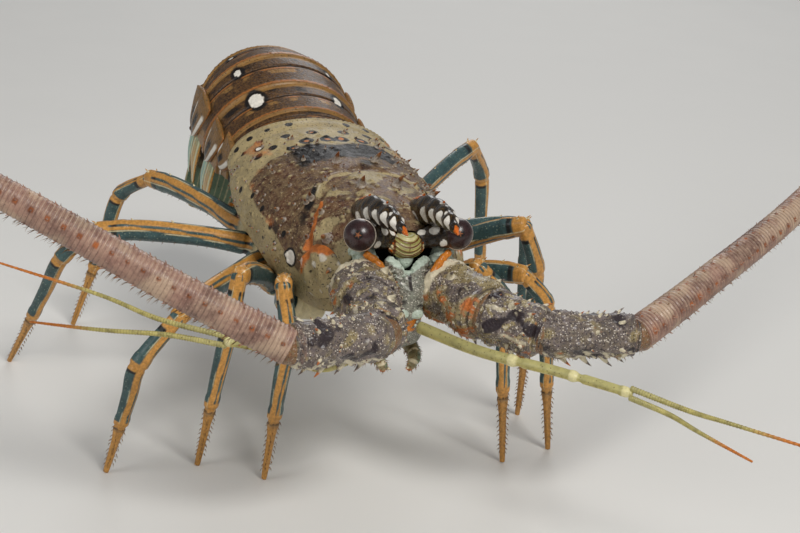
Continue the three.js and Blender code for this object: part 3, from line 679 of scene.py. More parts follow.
def floor_finish(tone):
    """A plain pale floor with a faint grain."""
    _, graph, shader = new_finish("floor")
    grain = graph.noise(graph.place(), 0.02, 3.0)
    graph.feed(shader.inputs["Base Color"], graph.blend(grain, tinted(0.97, tone), tone))
    graph.feed(shader.inputs["Roughness"], graph.remap(grain, 0.0, 1.0, 0.6, 0.7))


# Every shell finish: its six colours as screen values, in the order above, and the rest.
WHITE, CREAM, ORANGE = (240, 234, 222), (226, 212, 178), (222, 110, 30)
FINISHES = {
    "shell": (
        # The shell's dark is its saddle and dots, and also painted shade inside the folded front
        # and rear edges and round the foot of each front lobe.
        [(86, 46, 30), (176, 158, 116), WHITE, (208, 118, 54), (18, 13, 11), (190, 166, 132)],
        dict(roughness=0.5, coat=0.08, mottle=0.14, bump=0.5),
        [(1.0, 0.4, 0.6), (1.7, 0.36, 0.6)],
    ),
    "underside": (
        # Its dark is painted shade on the lower face of the sternum.
        [(170, 150, 108), (122, 140, 110), CREAM, ORANGE, (60, 40, 30), CREAM],
        dict(roughness=0.5, coat=0.15),
        [],
    ),
    "horn": (
        [(26, 19, 14), (190, 140, 52), WHITE, ORANGE, (12, 11, 12), (96, 70, 44)],
        dict(roughness=0.26, coat=0.6, ragged=0.25, bump=0.2),
        [(1.2, 0.2, 0.3), (1.4, 0.12, 0.3)],
    ),
    "stalk": (
        [(28, 21, 16), (150, 110, 50), WHITE, ORANGE, (12, 11, 12), (110, 90, 60)],
        dict(roughness=0.3, coat=0.5, ragged=0.3, bump=0.25),
        [],
    ),
    "bridge": (
        [(150, 150, 84), (168, 160, 92), (226, 214, 168), ORANGE, (96, 50, 20), (220, 210, 150)],
        dict(roughness=0.34, coat=0.4, ragged=0.15, mottle=0.5, bump=0.2),
        [(1.4, 0.2, 0.3)],
    ),
    "plate": (
        [(138, 134, 122), (160, 168, 150), (198, 212, 196), (226, 134, 42), (48, 42, 40)]
        + [(216, 212, 198)],
        dict(roughness=0.42, mottle=0.5, bump=0.6),
        [(2.0, 0.5, 0.8), (1.9, 0.5, 0.75)],
    ),
    "antenna": (
        [(112, 101, 104), (154, 138, 100), (226, 214, 184), (196, 112, 54), (44, 34, 38)]
        + [(214, 204, 190)],
        dict(roughness=0.42, bump=0.6),
        [(1.3, 0.48, 0.8), (1.7, 0.46, 0.75)],
    ),
    "lash": (
        # Its pale is a painted highlight on the ring crests of the upper side, and the faint pale
        # foot of each spinule.
        [(156, 118, 104), (190, 162, 138), (206, 188, 164), (170, 96, 50), (62, 40, 36)]
        + [(206, 176, 152)],
        dict(roughness=0.48, coat=0.2, mottle=0.1, bump=0.3),
        [(1.0, 0.22, 0.5), (1.2, 0.3, 0.4)],
    ),
    "thread": (
        # Its pale is the knuckles and also painted highlight streaks, its dark the thread rings and
        # also painted shade under the antennules.
        [(196, 182, 104), (184, 176, 116), (226, 216, 160), (206, 120, 44), (74, 58, 34)]
        + [(216, 206, 140)],
        dict(bump=0.2),
        [],
    ),
    "leg": (
        [(74, 98, 94), (60, 86, 90), (222, 208, 166), (208, 150, 76), (32, 34, 34)]
        + [(150, 164, 140)],
        dict(roughness=0.38, ragged=0.35, bump=0.25),
        [(1.2, 0.34, 0.5), (1.4, 0.34, 0.5)],
    ),
    "tail": (
        # Its dark is the bands, spot rims and plate middles, and also painted shade on the front of
        # each ring, under the ring before.
        [(62, 38, 24), (150, 112, 62), WHITE, (164, 104, 50), (20, 14, 11), (132, 100, 66)],
        dict(roughness=0.42, coat=0.2, ragged=0.4),
        [(0.9, 0.4, 0.6), (1.3, 0.34, 0.5)],
    ),
    "swimmeret": (
        [(158, 168, 110), (156, 192, 178), (214, 216, 176), (222, 158, 66), (60, 60, 40)]
        + [(206, 210, 160)],
        dict(roughness=0.42, coat=0.2, bump=0.15),
        [],
    ),
    "fan": (
        [(92, 66, 40), (110, 134, 112), (220, 206, 164), (214, 132, 50), (34, 26, 22)]
        + [(176, 150, 104)],
        dict(roughness=0.42, coat=0.25, mottle=0.2, bump=0.3),
        [],
    ),
    "bristle": (
        [(150, 108, 62), (176, 140, 90), CREAM, (206, 112, 40), (50, 34, 24), (190, 160, 110)],
        dict(roughness=0.55, coat=0.0, mottle=0.1, bump=0.0),
        [],
    ),
}


def main_colour(name):
    return colour(*FINISHES[name][0][0])


def build_materials(settings):
    build_groups()
    labels = ("dark_speckle", "light_speckle")
    for name, (screen, values, speckles) in FINISHES.items():
        colours = [colour(*tone) for tone in screen]
        if hasattr(settings, name):
            colours[0] = tuple(getattr(settings, name))
        shell_finish(name, colours, **values, **dict(zip(labels, speckles)))
    eye_finish()


# Carapace


def groove_depth(y, bend):
    neck = 1.3 * np.exp(-(((y - (38 - 17 * np.abs(bend))) / 2.0) ** 2))
    return neck + 0.9 * np.exp(-(((y - 77) / 1.7) ** 2))


def shell_point(y, angle, grow=0.0):
    """Points of the carapace at distances y from its front edge and turns from the middle."""
    y, angle, grow = np.broadcast_arrays(*(np.asarray(one, float) for one in (y, angle, grow)))
    shape = (*y.shape, 3)
    y, angle, grow = y.ravel(), angle.ravel(), grow.ravel()
    half, top, widest, margin = station(SHELL, y).T
    turn, side = np.abs(angle), np.sign(angle)
    bend = np.minimum(turn / ARCH_LIMIT, 1) * SHELL_ARCH
    depth = groove_depth(y, bend)
    rise = np.cos(bend)
    x = side * np.sin(bend) * (half + grow - depth)
    above = widest + rise * (top + grow - depth - widest)
    below = widest + rise / math.cos(SHELL_ARCH) * (margin - grow - widest)
    z = np.where(rise > 0, above, below)
    under = turn > ARCH_LIMIT
    inward = (math.pi - turn) / (math.pi - ARCH_LIMIT)
    x = np.where(under, side * inward * math.sin(SHELL_ARCH) * (half + grow), x)
    z = np.where(under, margin - grow, z)
    return np.stack([x, y, z], axis=-1).reshape(shape)


def shell_turn(degrees):
    """The turn that shell_point takes for a bend in degrees from the middle."""
    return np.radians(degrees) * ARCH_LIMIT / SHELL_ARCH


def shell_normal(y, angle):
    step = 0.02
    across = shell_point(y, angle + step) - shell_point(y, angle - step)
    along = shell_point(y + step, angle) - shell_point(y - step, angle)
    return -unit(np.cross(along, across))


# Marks on the carapace: distance from the front edge, degrees from the middle, radius.
EYE_SPOTS = [(22, 90, 2.0), (70, 47, 0.8)]
REAR_SPOTS = [(63, 4, 2.4), (63.5, 17, 2.3), (60.5, 27, 1.8), (66, 38, 1.5), (65.5, 50, 1.4)]
REAR_SPOTS += [(70, 10, 1.7), (71, 27, 1.5), (74, 44, 1.1), (74, 60, 1.1), (80, 20, 1.2)]
REAR_SPOTS += [(80, 36, 1.1), (80, 52, 1.0), (80, 68, 1.0)]
SIDE_DOTS = [(60, 78, 1.0), (51, 72, 0.9), (42.5, 73, 0.95), (35, 79, 0.95), (27.5, 77, 1.0)]
SIDE_DOTS += [(47, 84, 0.6), (31, 88, 0.7), (38, 92, 0.5)]
# Where the pale flank begins: distance from the front edge, degrees from the middle.
FLANK_LINE = [(8, 100), (17, 97), (22, 93), (28.5, 83), (48.5, 73), (70, 61), (85, 56)]
# The orange arc: degrees from the middle, distance from the front edge.
ARC_LINE = [(0, 36), (14, 34), (22, 33), (30, 30.5), (45, 23.5), (63, 19), (79, 17), (92, 17.5)]
ARC_LINE += [(115, 22)]


def shell_marks(points, y, bend):
    """Pale flanks and rear band with black dots, a dark saddle, orange arcs, white spots."""
    ragged, small = wobble(points, 4.0), wobble(points, 1.5, 2)
    border = np.interp(y, *zip(*FLANK_LINE))
    arc = y - np.interp(bend, *zip(*ARC_LINE))
    ahead = ease(0.5, -1.5, arc)
    lobe = ahead * ease(76, 84, bend + 4 * ragged)
    lobe = lobe + ahead * ease(8, 4, y) * ease(48, 56, bend + 3 * ragged)
    second = most(
        ease(-2.5, 2.5, bend - border + 3.5 * ragged),
        ease(58.5, 60.5, y + 2.2 * ragged + 0.03 * bend),
        np.clip(lobe, 0, 1),
        0.85 * (band(y, 28, 3.5, 3) * band(bend, 38, 6, 6) * ease(-0.5, 0.3, small)),
        0.9 * (band(arc, 1.0, 0.25, 0.7) * ease(42, 32, bend) * ease(-0.7, 0.1, ragged)),
        0.75 * ahead * ease(0.1, 0.6, ragged + 0.5 * small),
    )
    inside = border - bend
    gold = most(
        0.95 * band(arc, -1.5, 1.3, 0.9) * band(bend, 60, 17, 5) * ease(-1.3, -0.6, small),
        0.8 * band(arc, -2.2, 0.7, 1.2) * band(bend, 88, 6, 5),
        0.45 * ease(10, 3, inside) * ease(2, 6, inside + 5) * ease(0.0, 0.6, ragged),
        0.5 * band(y, 66, 8, 5) * band(bend, 52, 8, 8) * ease(-0.2, 0.5, ragged),
    )
    pale = 0.35 * band(arc, 2.1, 0.25, 0.45) * ease(44, 36, bend) * ease(-0.5, 0.2, small)
    saddle = ease(63, 56, y + 2 * ragged) * ease(44, 48, y - 2 * small)
    dark = most(
        saddle * ease(40, 26, bend + 5 * ragged),
        0.85 * band(arc, 3.6, 0.7, 1.2) * band(bend, 44, 6, 8),
        0.7 * ease(0.35, 0.8, wobble(points, 6.0, 3)) * (1 - second),
    )
    for side in (-1, 1):
        here = np.sign(points[..., 0]) == side

        def near(place, degrees):
            spot = shell_point(place, side * shell_turn(degrees))
            return np.linalg.norm(points - spot, axis=-1)

        for place, degrees, radius in REAR_SPOTS:
            gap = near(place, degrees) + 0.35 * small
            dark = most(dark, ease(radius + 0.3, radius - 0.2, gap))
            core = 0.7 * ease(radius * 0.6, radius * 0.2, gap) * (radius > 1.6)
            gold, dark = most(gold, core), dark * (1 - 0.8 * core)
        for place, degrees, radius in SIDE_DOTS:
            gap = near(place, degrees)
            dark = most(dark, here * ease(radius + 0.3, radius - 0.15, gap))
        for place, degrees, radius in EYE_SPOTS:
            gap = near(place, degrees)
            dark = most(dark, ease(radius + 1.2, radius + 0.4, gap))
            pale = most(pale, 1.5 * ease(radius + 0.25, radius - 0.2, gap))
            gold = gold * ease(radius, radius + 0.6, gap)
    return channels(y.shape, pale, gold, dark * (1 - np.clip(pale, 0, 1)), second)


def build_lobes(form):
    """The rounded speckled lobe at each front corner of the shell, beside the antenna."""
    share, turn = grid(np.linspace(0.02, 1, 44), around(84))
    y = 9.2 + 7.6 * share * np.cos(turn)
    degrees = 88 + 20 * share * np.sin(turn)
    lift = 2.3 * np.sqrt(np.maximum(1 - share**2, 0)) ** 0.8 - 0.5
    lift = lift + 0.1 * np.sin(y * 3) * np.cos(degrees * 0.4)
    for side in (-1, 1):
        points = shell_point(y, side * shell_turn(degrees), lift)
        ragged = wobble(points, 1.6, 5)
        corner = ease(0.0, 0.5, 0.6 * np.cos(turn) - 0.8 * np.sin(turn) + 0.3 * ragged)
        corner = corner * ease(0.45, 0.7, share)
        dark = 0.75 * ease(0.5, 0.8, wobble(points, 0.75, 2))
        # A dark rim where the lobe sinks into the shell: painted shade in the crease round it.
        dark = most(dark * (1 - corner), ease(0.93, 0.99, share))
        pale = 0.55 * ease(0.1, 0.7, -ragged)
        marks = channels(share.shape, pale, 0.9 * corner, dark, 0.95)
        if side > 0:
            points, marks = points[:, ::-1], marks[:, ::-1]
        closed_tube(form, points, marks)


def turned_in(ring, middle, steps):
    """An edge folded in: steps are the share of its width left, and how far back it goes."""
    middle = np.array(middle)
    return [(1 - s) * middle + s * ring + np.array([0, depth, 0]) for s, depth in steps]


GRANULE_COUNT, GRANULE_SEED, HEM_BEADS, HEM_PLACE = 520, 37, 60, 82.4
ARCH_STEPS, UNDER_STEPS, LENGTH_STEPS = 251, 12, 250


def build_carapace(settings):
    arch = np.linspace(-ARCH_LIMIT, ARCH_LIMIT, ARCH_STEPS)
    below = np.linspace(ARCH_LIMIT, FULL - ARCH_LIMIT, UNDER_STEPS)[1:-1]
    below = np.where(below > math.pi, below - FULL, below)
    lengths = np.linspace(1, CARAPACE_LENGTH, LENGTH_STEPS)
    y, angle = grid(lengths, np.concatenate([arch, below]))
    rings = shell_point(y, angle)
    outward = unit(shell_point(y, angle, 1.0) - rings)
    bend = np.degrees(np.minimum(np.abs(angle) / ARCH_LIMIT, 1) * SHELL_ARCH)
    marks = shell_marks(rings, y, bend)
    draw = stream(GRANULE_SEED)
    spots = []
    for _ in range(GRANULE_COUNT):
        place = 3 + 73 * next(draw)
        side = -1 if next(draw) < 0.5 else 1
        centre = shell_point(place, side * shell_turn(2 + 104 * next(draw)))
        radius = 0.8 + 0.8 * next(draw)
        spots.append((centre, radius, settings.granules * (0.25 + 0.35 * next(draw))))
    for n in range(HEM_BEADS):
        side = -1 if n % 2 else 1
        spots.append((shell_point(HEM_PLACE, side * shell_turn(1.8 * n)), 1.2, 0.5))
    edge = most(ease(3.0, 1.0, y), ease(83.6, 85, y))
    lift = beads(rings, spots) * (1 - edge) - 0.5 * edge + 0.25 * band(y, 2.8, 0.8, 1.0)
    lift = np.where(np.abs(angle) > ARCH_LIMIT, 0, lift)
    marks[..., 3] = most(marks[..., 3], 0.75 * ease(0.12, 0.4, lift))
    rings = rings + outward * lift[..., None]
    front_steps = ((0.975, 0.3), (0.94, 1.2), (0.86, 2.5), (0.5, 4.0))
    front = turned_in(rings[0], (0, 1, 20), front_steps)[::-1]
    rear = turned_in(rings[-1], (0, 85, 28), ((0.98, -0.2), (0.95, -1.2), (0.9, -2.5)))
    # The folded-in front and rear edges are dark: painted shade inside the rim of the shell.
    inside = channels((len(front), angle.shape[1]), dark=0.8)
    rear_fold_shade = channels((len(rear), angle.shape[1]), dark=0.6)
    everything = np.concatenate([front, rings, rear])
    form = closed_tube(Form(), everything, np.concatenate([inside, marks, rear_fold_shade]))
    build_lobes(form)
    shell_thorns(form)
    make("carapace_shell", form, "shell", "carapace")


SPINE_SEED, THORNLET_SEED, THORNLET_COUNT = 11, 19, 150


def shell_thorns(form):
    """The spines of the solids, finer, with smaller ones between."""

    def place(y, degrees, height, side, width=0.42):
        angle = side * shell_turn(degrees)
        root, lean = shell_point(y, angle), (0, -0.7 * height, 0)
        way = shell_normal(y, angle)
        thorn(form, root, way, height, height * width, lean, (0.4, 0.45, 0.0))

    draw = stream(SPINE_SEED)
    for side in (-1, 1):
        for y, degrees, height in SPINE_PAIRS:
            place(y, degrees, height, side)
        for middle, start, end, count, tall in SPINE_ROWS:
            for i in range(count):
                y = start + (end - start) * (i + 0.6 * next(draw)) / count
                height = tall * (1.15 - 0.55 * y / CARAPACE_LENGTH) * (0.8 + 0.4 * next(draw))
                place(y, middle + 6 * (next(draw) - 0.5), height, side)
    draw = stream(THORNLET_SEED)
    for n in range(THORNLET_COUNT):
        side = -1 if n % 2 else 1
        y, degrees = 5 + 70 * next(draw), 6 + 98 * next(draw)
        place(y, degrees, 0.6 + 0.5 * next(draw), side, 0.6)


# Horns, eyes and the front of the head

HORN_ROWS = [
    (8, 15.5, 27.5, 3.6, 5),
    (8, 8.5, 31.7, 3.7, 4.7),
    (8.2, 0.5, 34.2, 3.3, 3.9),
    (8, -7.5, 35.1, 2.7, 3),
    (7.6, -14, 34.9, 1.7, 1.9),
    (7.1, -19.2, 33.9, 0.35, 0.37),
]
# White patches on a horn: share of its length, half length, turn and half turn.
HORN_PATCHES = [(0.24, 0.05, 118, 34), (0.40, 0.045, 108, 42), (0.535, 0.034, 104, 44)]
HORN_PATCHES += [(0.665, 0.036, 92, 52), (0.80, 0.034, 84, 60), (0.72, 0.02, 30, 16)]
HORN_LINES = (0.355, 0.452, 0.5, 0.573, 0.628, 0.704, 0.762, 0.838)


def horn_marks(t, angle, points):
    """Black with white patches low on the sides, yellow lines over the top, an orange tip."""
    turn = np.degrees(np.abs(turn_gap(angle, 0)))
    place = t + 0.008 * np.sin(2 * angle + 9 * t)
    place = place + 0.024 * np.cos(angle) + 0.007 * np.sin(5 * angle)
    gaps = [
        np.hypot((place - middle) / half, (turn - about) / reach)
        for middle, half, about, reach in HORN_PATCHES
    ]
    pale = most(*(ease(1.08, 0.9, gap) for gap in gaps))
    lines = bands(place, HORN_LINES, 0.0025, 0.005) * ease(150, 120, turn)
    rim = most(lines, *(band(gap, 1.25, 0.08, 0.12) for gap in gaps))
    tip = 0.8 * ease(0.925, 0.95, place)
    base = 0.9 * band(t, 0.2, 0.03, 0.03) * band(turn, 12, 16, 14)
    second = 0.75 * rim * (1 - pale) * (1 - tip)
    return channels(t.shape, pale * (1 - tip), most(tip, base), 0.7 * (1 - tip), second)


def horn_skin(t, angle):
    ripples = 0.22 * np.sin(44 * t) * ease(0.2, 0.35, t) * ease(0.95, 0.85, t)
    return 0.12 * np.cos(5 * angle) * np.sin(math.pi * t) + ripples


def build_horns(settings):
    forward = (0, -0.5, 0.866)
    for name, side in SIDES.items():
        rows = mirrored(side, HORN_ROWS)
        form = limb(rows, 48, 150, horn_skin, horn_marks, caps=(0.2, 0.9))
        thorn(form, (side * 7.9, 9.5, 35.4), forward, 2.3, 1.3, (0, -0.8, 0))
        thorn(form, (side * 8.1, -4.5, 37.6), forward, 1.9, 0.95, (0, -0.8, 0))
        for n in range(9):
            turn = side * (0.35 + 0.3 * n / 8) * math.pi
            x, y = side * 9.6 + 4.6 * math.sin(2 * turn), 9 + 5.2 * math.cos(2 * turn)
            bend = math.asin(np.clip(x / station(SHELL, y)[0, 0], -0.95, 0.95))
            turn = bend * ARCH_LIMIT / SHELL_ARCH
            root, way = shell_point(y, turn), shell_normal(y, turn)
            thorn(form, root, way, 0.8, 0.55, colours=(0.6, 0.9, 0))
        dress(f"horn_{name}", form, "horn")


STALK_ROWS = [
    (4.2, 0.2, 26.6, 2.6, 2.6),
    (7.2, -0.9, 27.5, 3.0, 3.1),
    (10.4, -1.8, 28.4, 3.6, 3.8),
    (12.4, -2.2, 28.9, 3.9, 4.15),
]
# White patches on an eyestalk: share of its length, turn from its upper side, radius.
STALK_PATCHES = [(0.45, 42, 1.25), (0.62, 112, 1.0), (0.12, 35, 1.1), (0.88, 20, 1.1)]
STALK_PATCHES += [(0.8, 165, 1.0), (0.4, 200, 1.1), (0.75, 275, 1.3)]


def stalk_skin(t, angle):
    return 0.1 * np.sin(26 * t) + 0.14 * np.cos(3 * angle) * np.sin(math.pi * t)


def build_eyes(settings):
    for name, side in SIDES.items():
        centre = np.array([side * EYE_OUT, EYE_MIDDLE[1], EYE_MIDDLE[2]])
        axis = unit((side * 0.14 - 0.33, -0.87, 0.28))
        aside = unit(np.cross(axis, Z_AXIS))
        upward = np.cross(aside, axis)

        def eye_marks(polar, angle, points):
            out = unit(points - centre)
            facing, right, above = out @ axis, out @ aside, out @ upward
            away, about = np.hypot(right, above), np.arctan2(above, right)
            # A small gold star round the axis, which faces the viewer: painted eyeshine reflection,
            # with a dark ring round it.
            painted_eyeshine_star = ease(0.13, 0.1, away * (1 + 0.5 * np.cos(5 * about))) * (facing > 0)
            ring = ease(0.14, 0.16, away) * ease(0.3, 0.26, away) * (facing > 0)
            # A thin pale ring near the edge of the disc seen along the axis: painted reflection at
            # the cornea's rim.
            pale = 0.9 * band(facing, 0.26, 0.05, 0.04)
            dark = most(0.9 * ring, ease(0.18, 0.1, facing))
            return channels(polar.shape, pale, 0.55 * painted_eyeshine_star, dark)

        form = ball(Form(), centre, (EYE_RADIUS,) * 3, 144, 120, eye_marks)
        make(f"eye_{name}_cornea", form, "cornea", f"eye_{name}")

        def stalk_marks(t, angle, points):
            ragged = wobble(points, 1.2, side + 2)
            gaps = []
            for place, turn, radius in STALK_PATCHES:
                away = turn_gap(angle, side * math.radians(turn))
                gap = np.hypot((t - place) * 9.5, away * 3.3) / radius
                gaps.append(gap + 0.12 * ragged)
            pale = most(*(ease(1.08, 0.92, gap) for gap in gaps))
            rim = most(*(band(gap, 1.22, 0.06, 0.12) for gap in gaps))
            gold = 0.8 * ease(0.4, 0.8, ragged) * ease(0.3, 0.1, t)
            return channels(t.shape, pale, gold, 0.6, 0.6 * rim)

        rows = mirrored(side, STALK_ROWS)
        form = limb(rows, 64, 90, stalk_skin, stalk_marks, caps=(0.4, 0.1))
        root = (side * 10.2, -2.4, 31.6)
        thorn(form, root, (0, -0.3, 1), 0.9, 0.6, colours=(0.8, 0.6, 0))
        dress(f"eyestalk_{name}", form, "stalk")


SHIELD_ROWS = [
    (0, -3.2, 17.6, 4.6, 2.4),
    (0, -4.6, 15.0, 5.8, 3.5),
    (0, -5.2, 10.5, 5, 4.2),
    (0, -4, 6, 5.2, 4.6),
    (0, -1, 1, 7, 5),
    (0, 2, -2, 5, 3),
]
SHIELD_ARM = [
    (1.9, -4.8, 14.5, 2.2, 2.2),
    (2.6, -4.6, 17.8, 2.1, 1.9),
    (3.9, -4.0, 20.3, 1.9, 1.5),
    (5.6, -3.4, 22.2, 1.2, 1.1),
]
SHIELD_ARCH = [
    (18.6, 0.8, 9.6, 0.8, 1.0),
    (17.8, 0.2, 14.6, 1.0, 1.2),
    (15.6, -0.6, 19.0, 1.0, 1.3),
    (11.8, -1.2, 21.2, 1.0, 1.3),
    (8.4, -2.0, 19.0, 0.9, 1.2),
    (7.2, -2.8, 15.4, 0.6, 0.8),
]
SHIELD_BAR = [
    (12.2, -3.4, 24.0, 0.9, 0.7),
    (9.6, -4.6, 22.2, 1.15, 0.9),
    (7.4, -5.8, 19.4, 1.2, 0.95),
    (6.4, -6.4, 16.0, 1.1, 0.9),
    (6.2, -6.6, 12.4, 0.8, 0.7),
]
CHEEK_ROWS = [(13.5, 1.5, 24.5, 2.4, 2.0), (11, -0.5, 22.0, 3.0, 2.6), (9, -1.6, 18.6, 2.4, 2.2)]


def plate_marks(t, angle, points):
    x, y, z = np.moveaxis(points, -1, 0)
    wide = np.abs(x)
    ragged = wobble(points, 1.4, 4)
    cheek = np.hypot(wide - 2.2, (z - 8.4) * 1.2) + 0.3 * ragged
    brow = 0.9 * ease(-0.2, 0.7, z - 18.2 - 0.55 * wide + 0.5 * ragged)
    gold = band(z, 5, 1.4, 1.4) * ease(-0.2, 0.3, ragged)
    dark = 0.9 * band(wide, 0, 0.25, 0.5) * band(z, 17, 1.6, 1.4)
    dark = dark + 0.7 * band(z, 11.5, 0.8, 1.2) * ease(0.1, 0.6, ragged)
    pale = most(brow, 0.85 * ease(1.9, 1.5, cheek))
    return channels(t.shape, pale, gold, dark, 0.4 * ease(-0.2, 0.6, ragged))


def plate_skin(t, angle):
    ripples = 0.12 * np.sin(30 * t + 3 * np.sin(2 * angle))
    return 0.18 * np.sin(9 * t * math.pi) * np.cos(4 * angle) + ripples


def arch_marks(t, angle, points):
    return channels(t.shape, 0.6, 0, 0.7 * ease(0.45, 0.8, wobble(points, 0.7, 3)), 1)


def bar_marks(t, angle, points):
    return channels(t.shape, gold=1.0)


def bar_skin(t, angle):
    return 0.08 * np.sin(40 * t)


def cheek_marks(t, angle, points):
    return channels(t.shape, 0.85, 0, 0.5 * ease(0.2, 0.6, wobble(points, 0.7)))


def bridge_height(points):
    return points[..., 2] - 0.11 * points[..., 0] ** 2


def bridge_marks(t, angle, points):
    """Pale green and cream plates parted by thin brown curves, like rows of a shield."""
    x, z = points[..., 0], points[..., 2]
    height, wide = bridge_height(points) - 25.4, np.abs(x)
    line = most(
        bands(height, (-2.9, -2.0, -0.9, 0.4, 1.6), 0.09, 0.22),
        0.8 * band(x, 0, 0.08, 0.2) * ease(-1.0, -0.6, height) * ease(1.8, 1.4, height),
        band(wide, 3.9, 0.12, 0.3),
    )
    pale = 0.6 * ease(-0.2, 0.7, np.sin(height * 2.9 + 1)) * (1 - line)
    pale = pale + 0.9 * band(wide, 4.7, 0.3, 0.2) * band(z, 25.5, 0.5, 0.5)
    gold = 0.9 * ease(4.1, 4.4, wide) * ease(23, 23.6, z)
    return channels(t.shape, pale, gold, 0.85 * line, 1.0)


def bridge_skin(points):
    return 0.14 * np.sin(bridge_height(points) * 5.2)


PLATE_SEED, PLATE_SPINES = 3, 34


def build_plate(settings):
    form = limb(SHIELD_ROWS, 96, 130, plate_skin, plate_marks, up=Y_AXIS)
    for side in (-1, 1):
        rows = mirrored(side, SHIELD_ARM)
        limb(rows, 44, 70, plate_skin, plate_marks, up=Y_AXIS, form=form)
        ball(form, (side * 2.2, -8.6, 8.4), (1.9, 1.3, 1.7), 32, 24, plate_marks)
        for rows, sides, steps, skin, marks in (
            (SHIELD_ARCH, 28, 90, plate_skin, arch_marks),
            (SHIELD_BAR, 28, 60, bar_skin, bar_marks),
            (CHEEK_ROWS, 40, 50, plate_skin, cheek_marks),
        ):
            limb(mirrored(side, rows), sides, steps, skin, marks, up=Y_AXIS, form=form)
    ball(form, (0, -1.2, 22), (2.6, 1.9, 3.2), 32, 24, plate_marks)
    draw = stream(PLATE_SEED)
    for n in range(PLATE_SPINES):
        side = -1 if n % 2 else 1
        z = 5 + 14 * next(draw)
        root = (side * (0.8 + 3.6 * next(draw)), -7.6 - 1.2 * math.sin(z / 4), z)
        height = 0.4 + 0.4 * next(draw)
        thorn(form, root, (0.2 * side, -1, 0.3), height, 0.45, colours=(0.9, 0.0, 0))
    dress("antennular_plate", form, "plate")
    centre, radii = (0, -1.2, 25.4), (5.3, 3.5, 3.6)
    form = ball(Form(), centre, radii, 96, 72, bridge_marks, bridge_skin)
    make("eye_bridge", form, "bridge")


JAW_ROWS = [
    (6.5, 23, -3.5, 2.6, 2.2),
    (7, 12, -5.5, 2.6, 2.2),
    (6.6, 4, -5.8, 2.3, 2),
    (5.8, -1, -6.2, 2, 1.8),
    (4.6, -3.6, -7.6, 1.6, 1.5),
    (3.8, -3, -9.8, 0.8, 0.8),
]
JAW_JOINTS = (0.38, 0.6, 0.8)


def jaw_marks(t, angle, points):
    pale = 0.8 * bands(t, JAW_JOINTS, 0.012, 0.02)
    return channels(t.shape, pale, 0.6 * ease(0.84, 0.96, t), 0, 0.7 * ease(0, 0.6, np.cos(angle)))


def jaw_skin(t, angle):
    return -0.35 * bands(t, JAW_JOINTS, 0.005, 0.03) + 0.1 * np.cos(4 * angle)


def build_jaws(settings):
    for name, side in SIDES.items():
        rows = mirrored(side, JAW_ROWS)
        form = limb(rows, 28, 110, jaw_skin, jaw_marks, up=X_AXIS)
        for t in (0.45, 0.52, 0.66, 0.72, 0.86):
            root = place_on(rows, t)[0] + np.array([-side * 1.4, -0.8, -0.6])
            thorn(form, root, (-side, -0.5, -0.4), 1.0, 0.4)
        dress(f"maxilliped_{name}", form, "underside")


# Distance back, half width, top and foot of the plate between the legs.
STERNUM = [[22, 5, -1, -6], [40, 8, 2, -4], [60, 11, 6.5, 0], [76, 12, 10.5, 4], [82, 10.5, 13, 8]]


def build_sternum(settings):
    y, angle = grid(np.linspace(22, 82, 90), around(64))
    half, top, low = (column[:, None] for column in station(STERNUM, y[:, 0]).T)
    ridges = 1 + 0.03 * np.cos((y - COXA_FRONT) / COXA_PITCH * 2 * math.pi)
    z = (top + low) / 2 + (top - low) / 2 * np.cos(angle) * ridges
    line = band((y - COXA_FRONT) % COXA_PITCH, COXA_PITCH / 2, 0.5, 1.0)
    # Darker towards its lower face, except at the seams: painted shade under the body.
    dark = 0.4 * (1 - line) * ease(-0.2, -0.9, np.cos(angle))
    marks = channels(y.shape, 0.5 * line, 0, dark, 0.4)
    rings = np.stack([half * np.sin(angle) * ridges, y, z], axis=-1)
    dress("sternum", closed_tube(Form(), rings, marks), "underside")


# Antennae


def segment_ends(joints, index):
    return np.array(joints[index], float), np.array(joints[index + 1], float)


def segment_rows(joints, index):
    start, end = segment_ends(joints, index)
    wide, narrow = ANTENNA_RADII[index * 2 : index * 2 + 2]
    sizes = [
        (-0.06, wide * 0.78, wide * 0.74),
        (0.14, wide, wide * 0.95),
        (0.5, wide * 0.45 + narrow * 0.5, wide * 0.42 + narrow * 0.47),
        (0.85, narrow * 1.06, narrow),
        (1, narrow * 0.84, narrow * 0.8),
    ]
    return [(*(start + (end - start) * t), across, above) for t, across, above in sizes]


def segment_places(joints, index, side):
    """Where the spines of a thick segment stand: share of its length, turn, height."""
    front = 1 if side > 0 else -1
    places = [(0.8, turn, 2.3) for turn in (40, 110, 180, 250, 320)]
    if index == 2:
        for t in (0.2, 0.42, 0.64):
            places += [(t, 180 - front * 10, 3), (t, 180 + front * 55, 2)]
            places.append((t - 0.06, front * 12, 1.6))
    else:
        places += [(0.45, front * 35, 3), (0.5, 180, 2.6)]
    return places


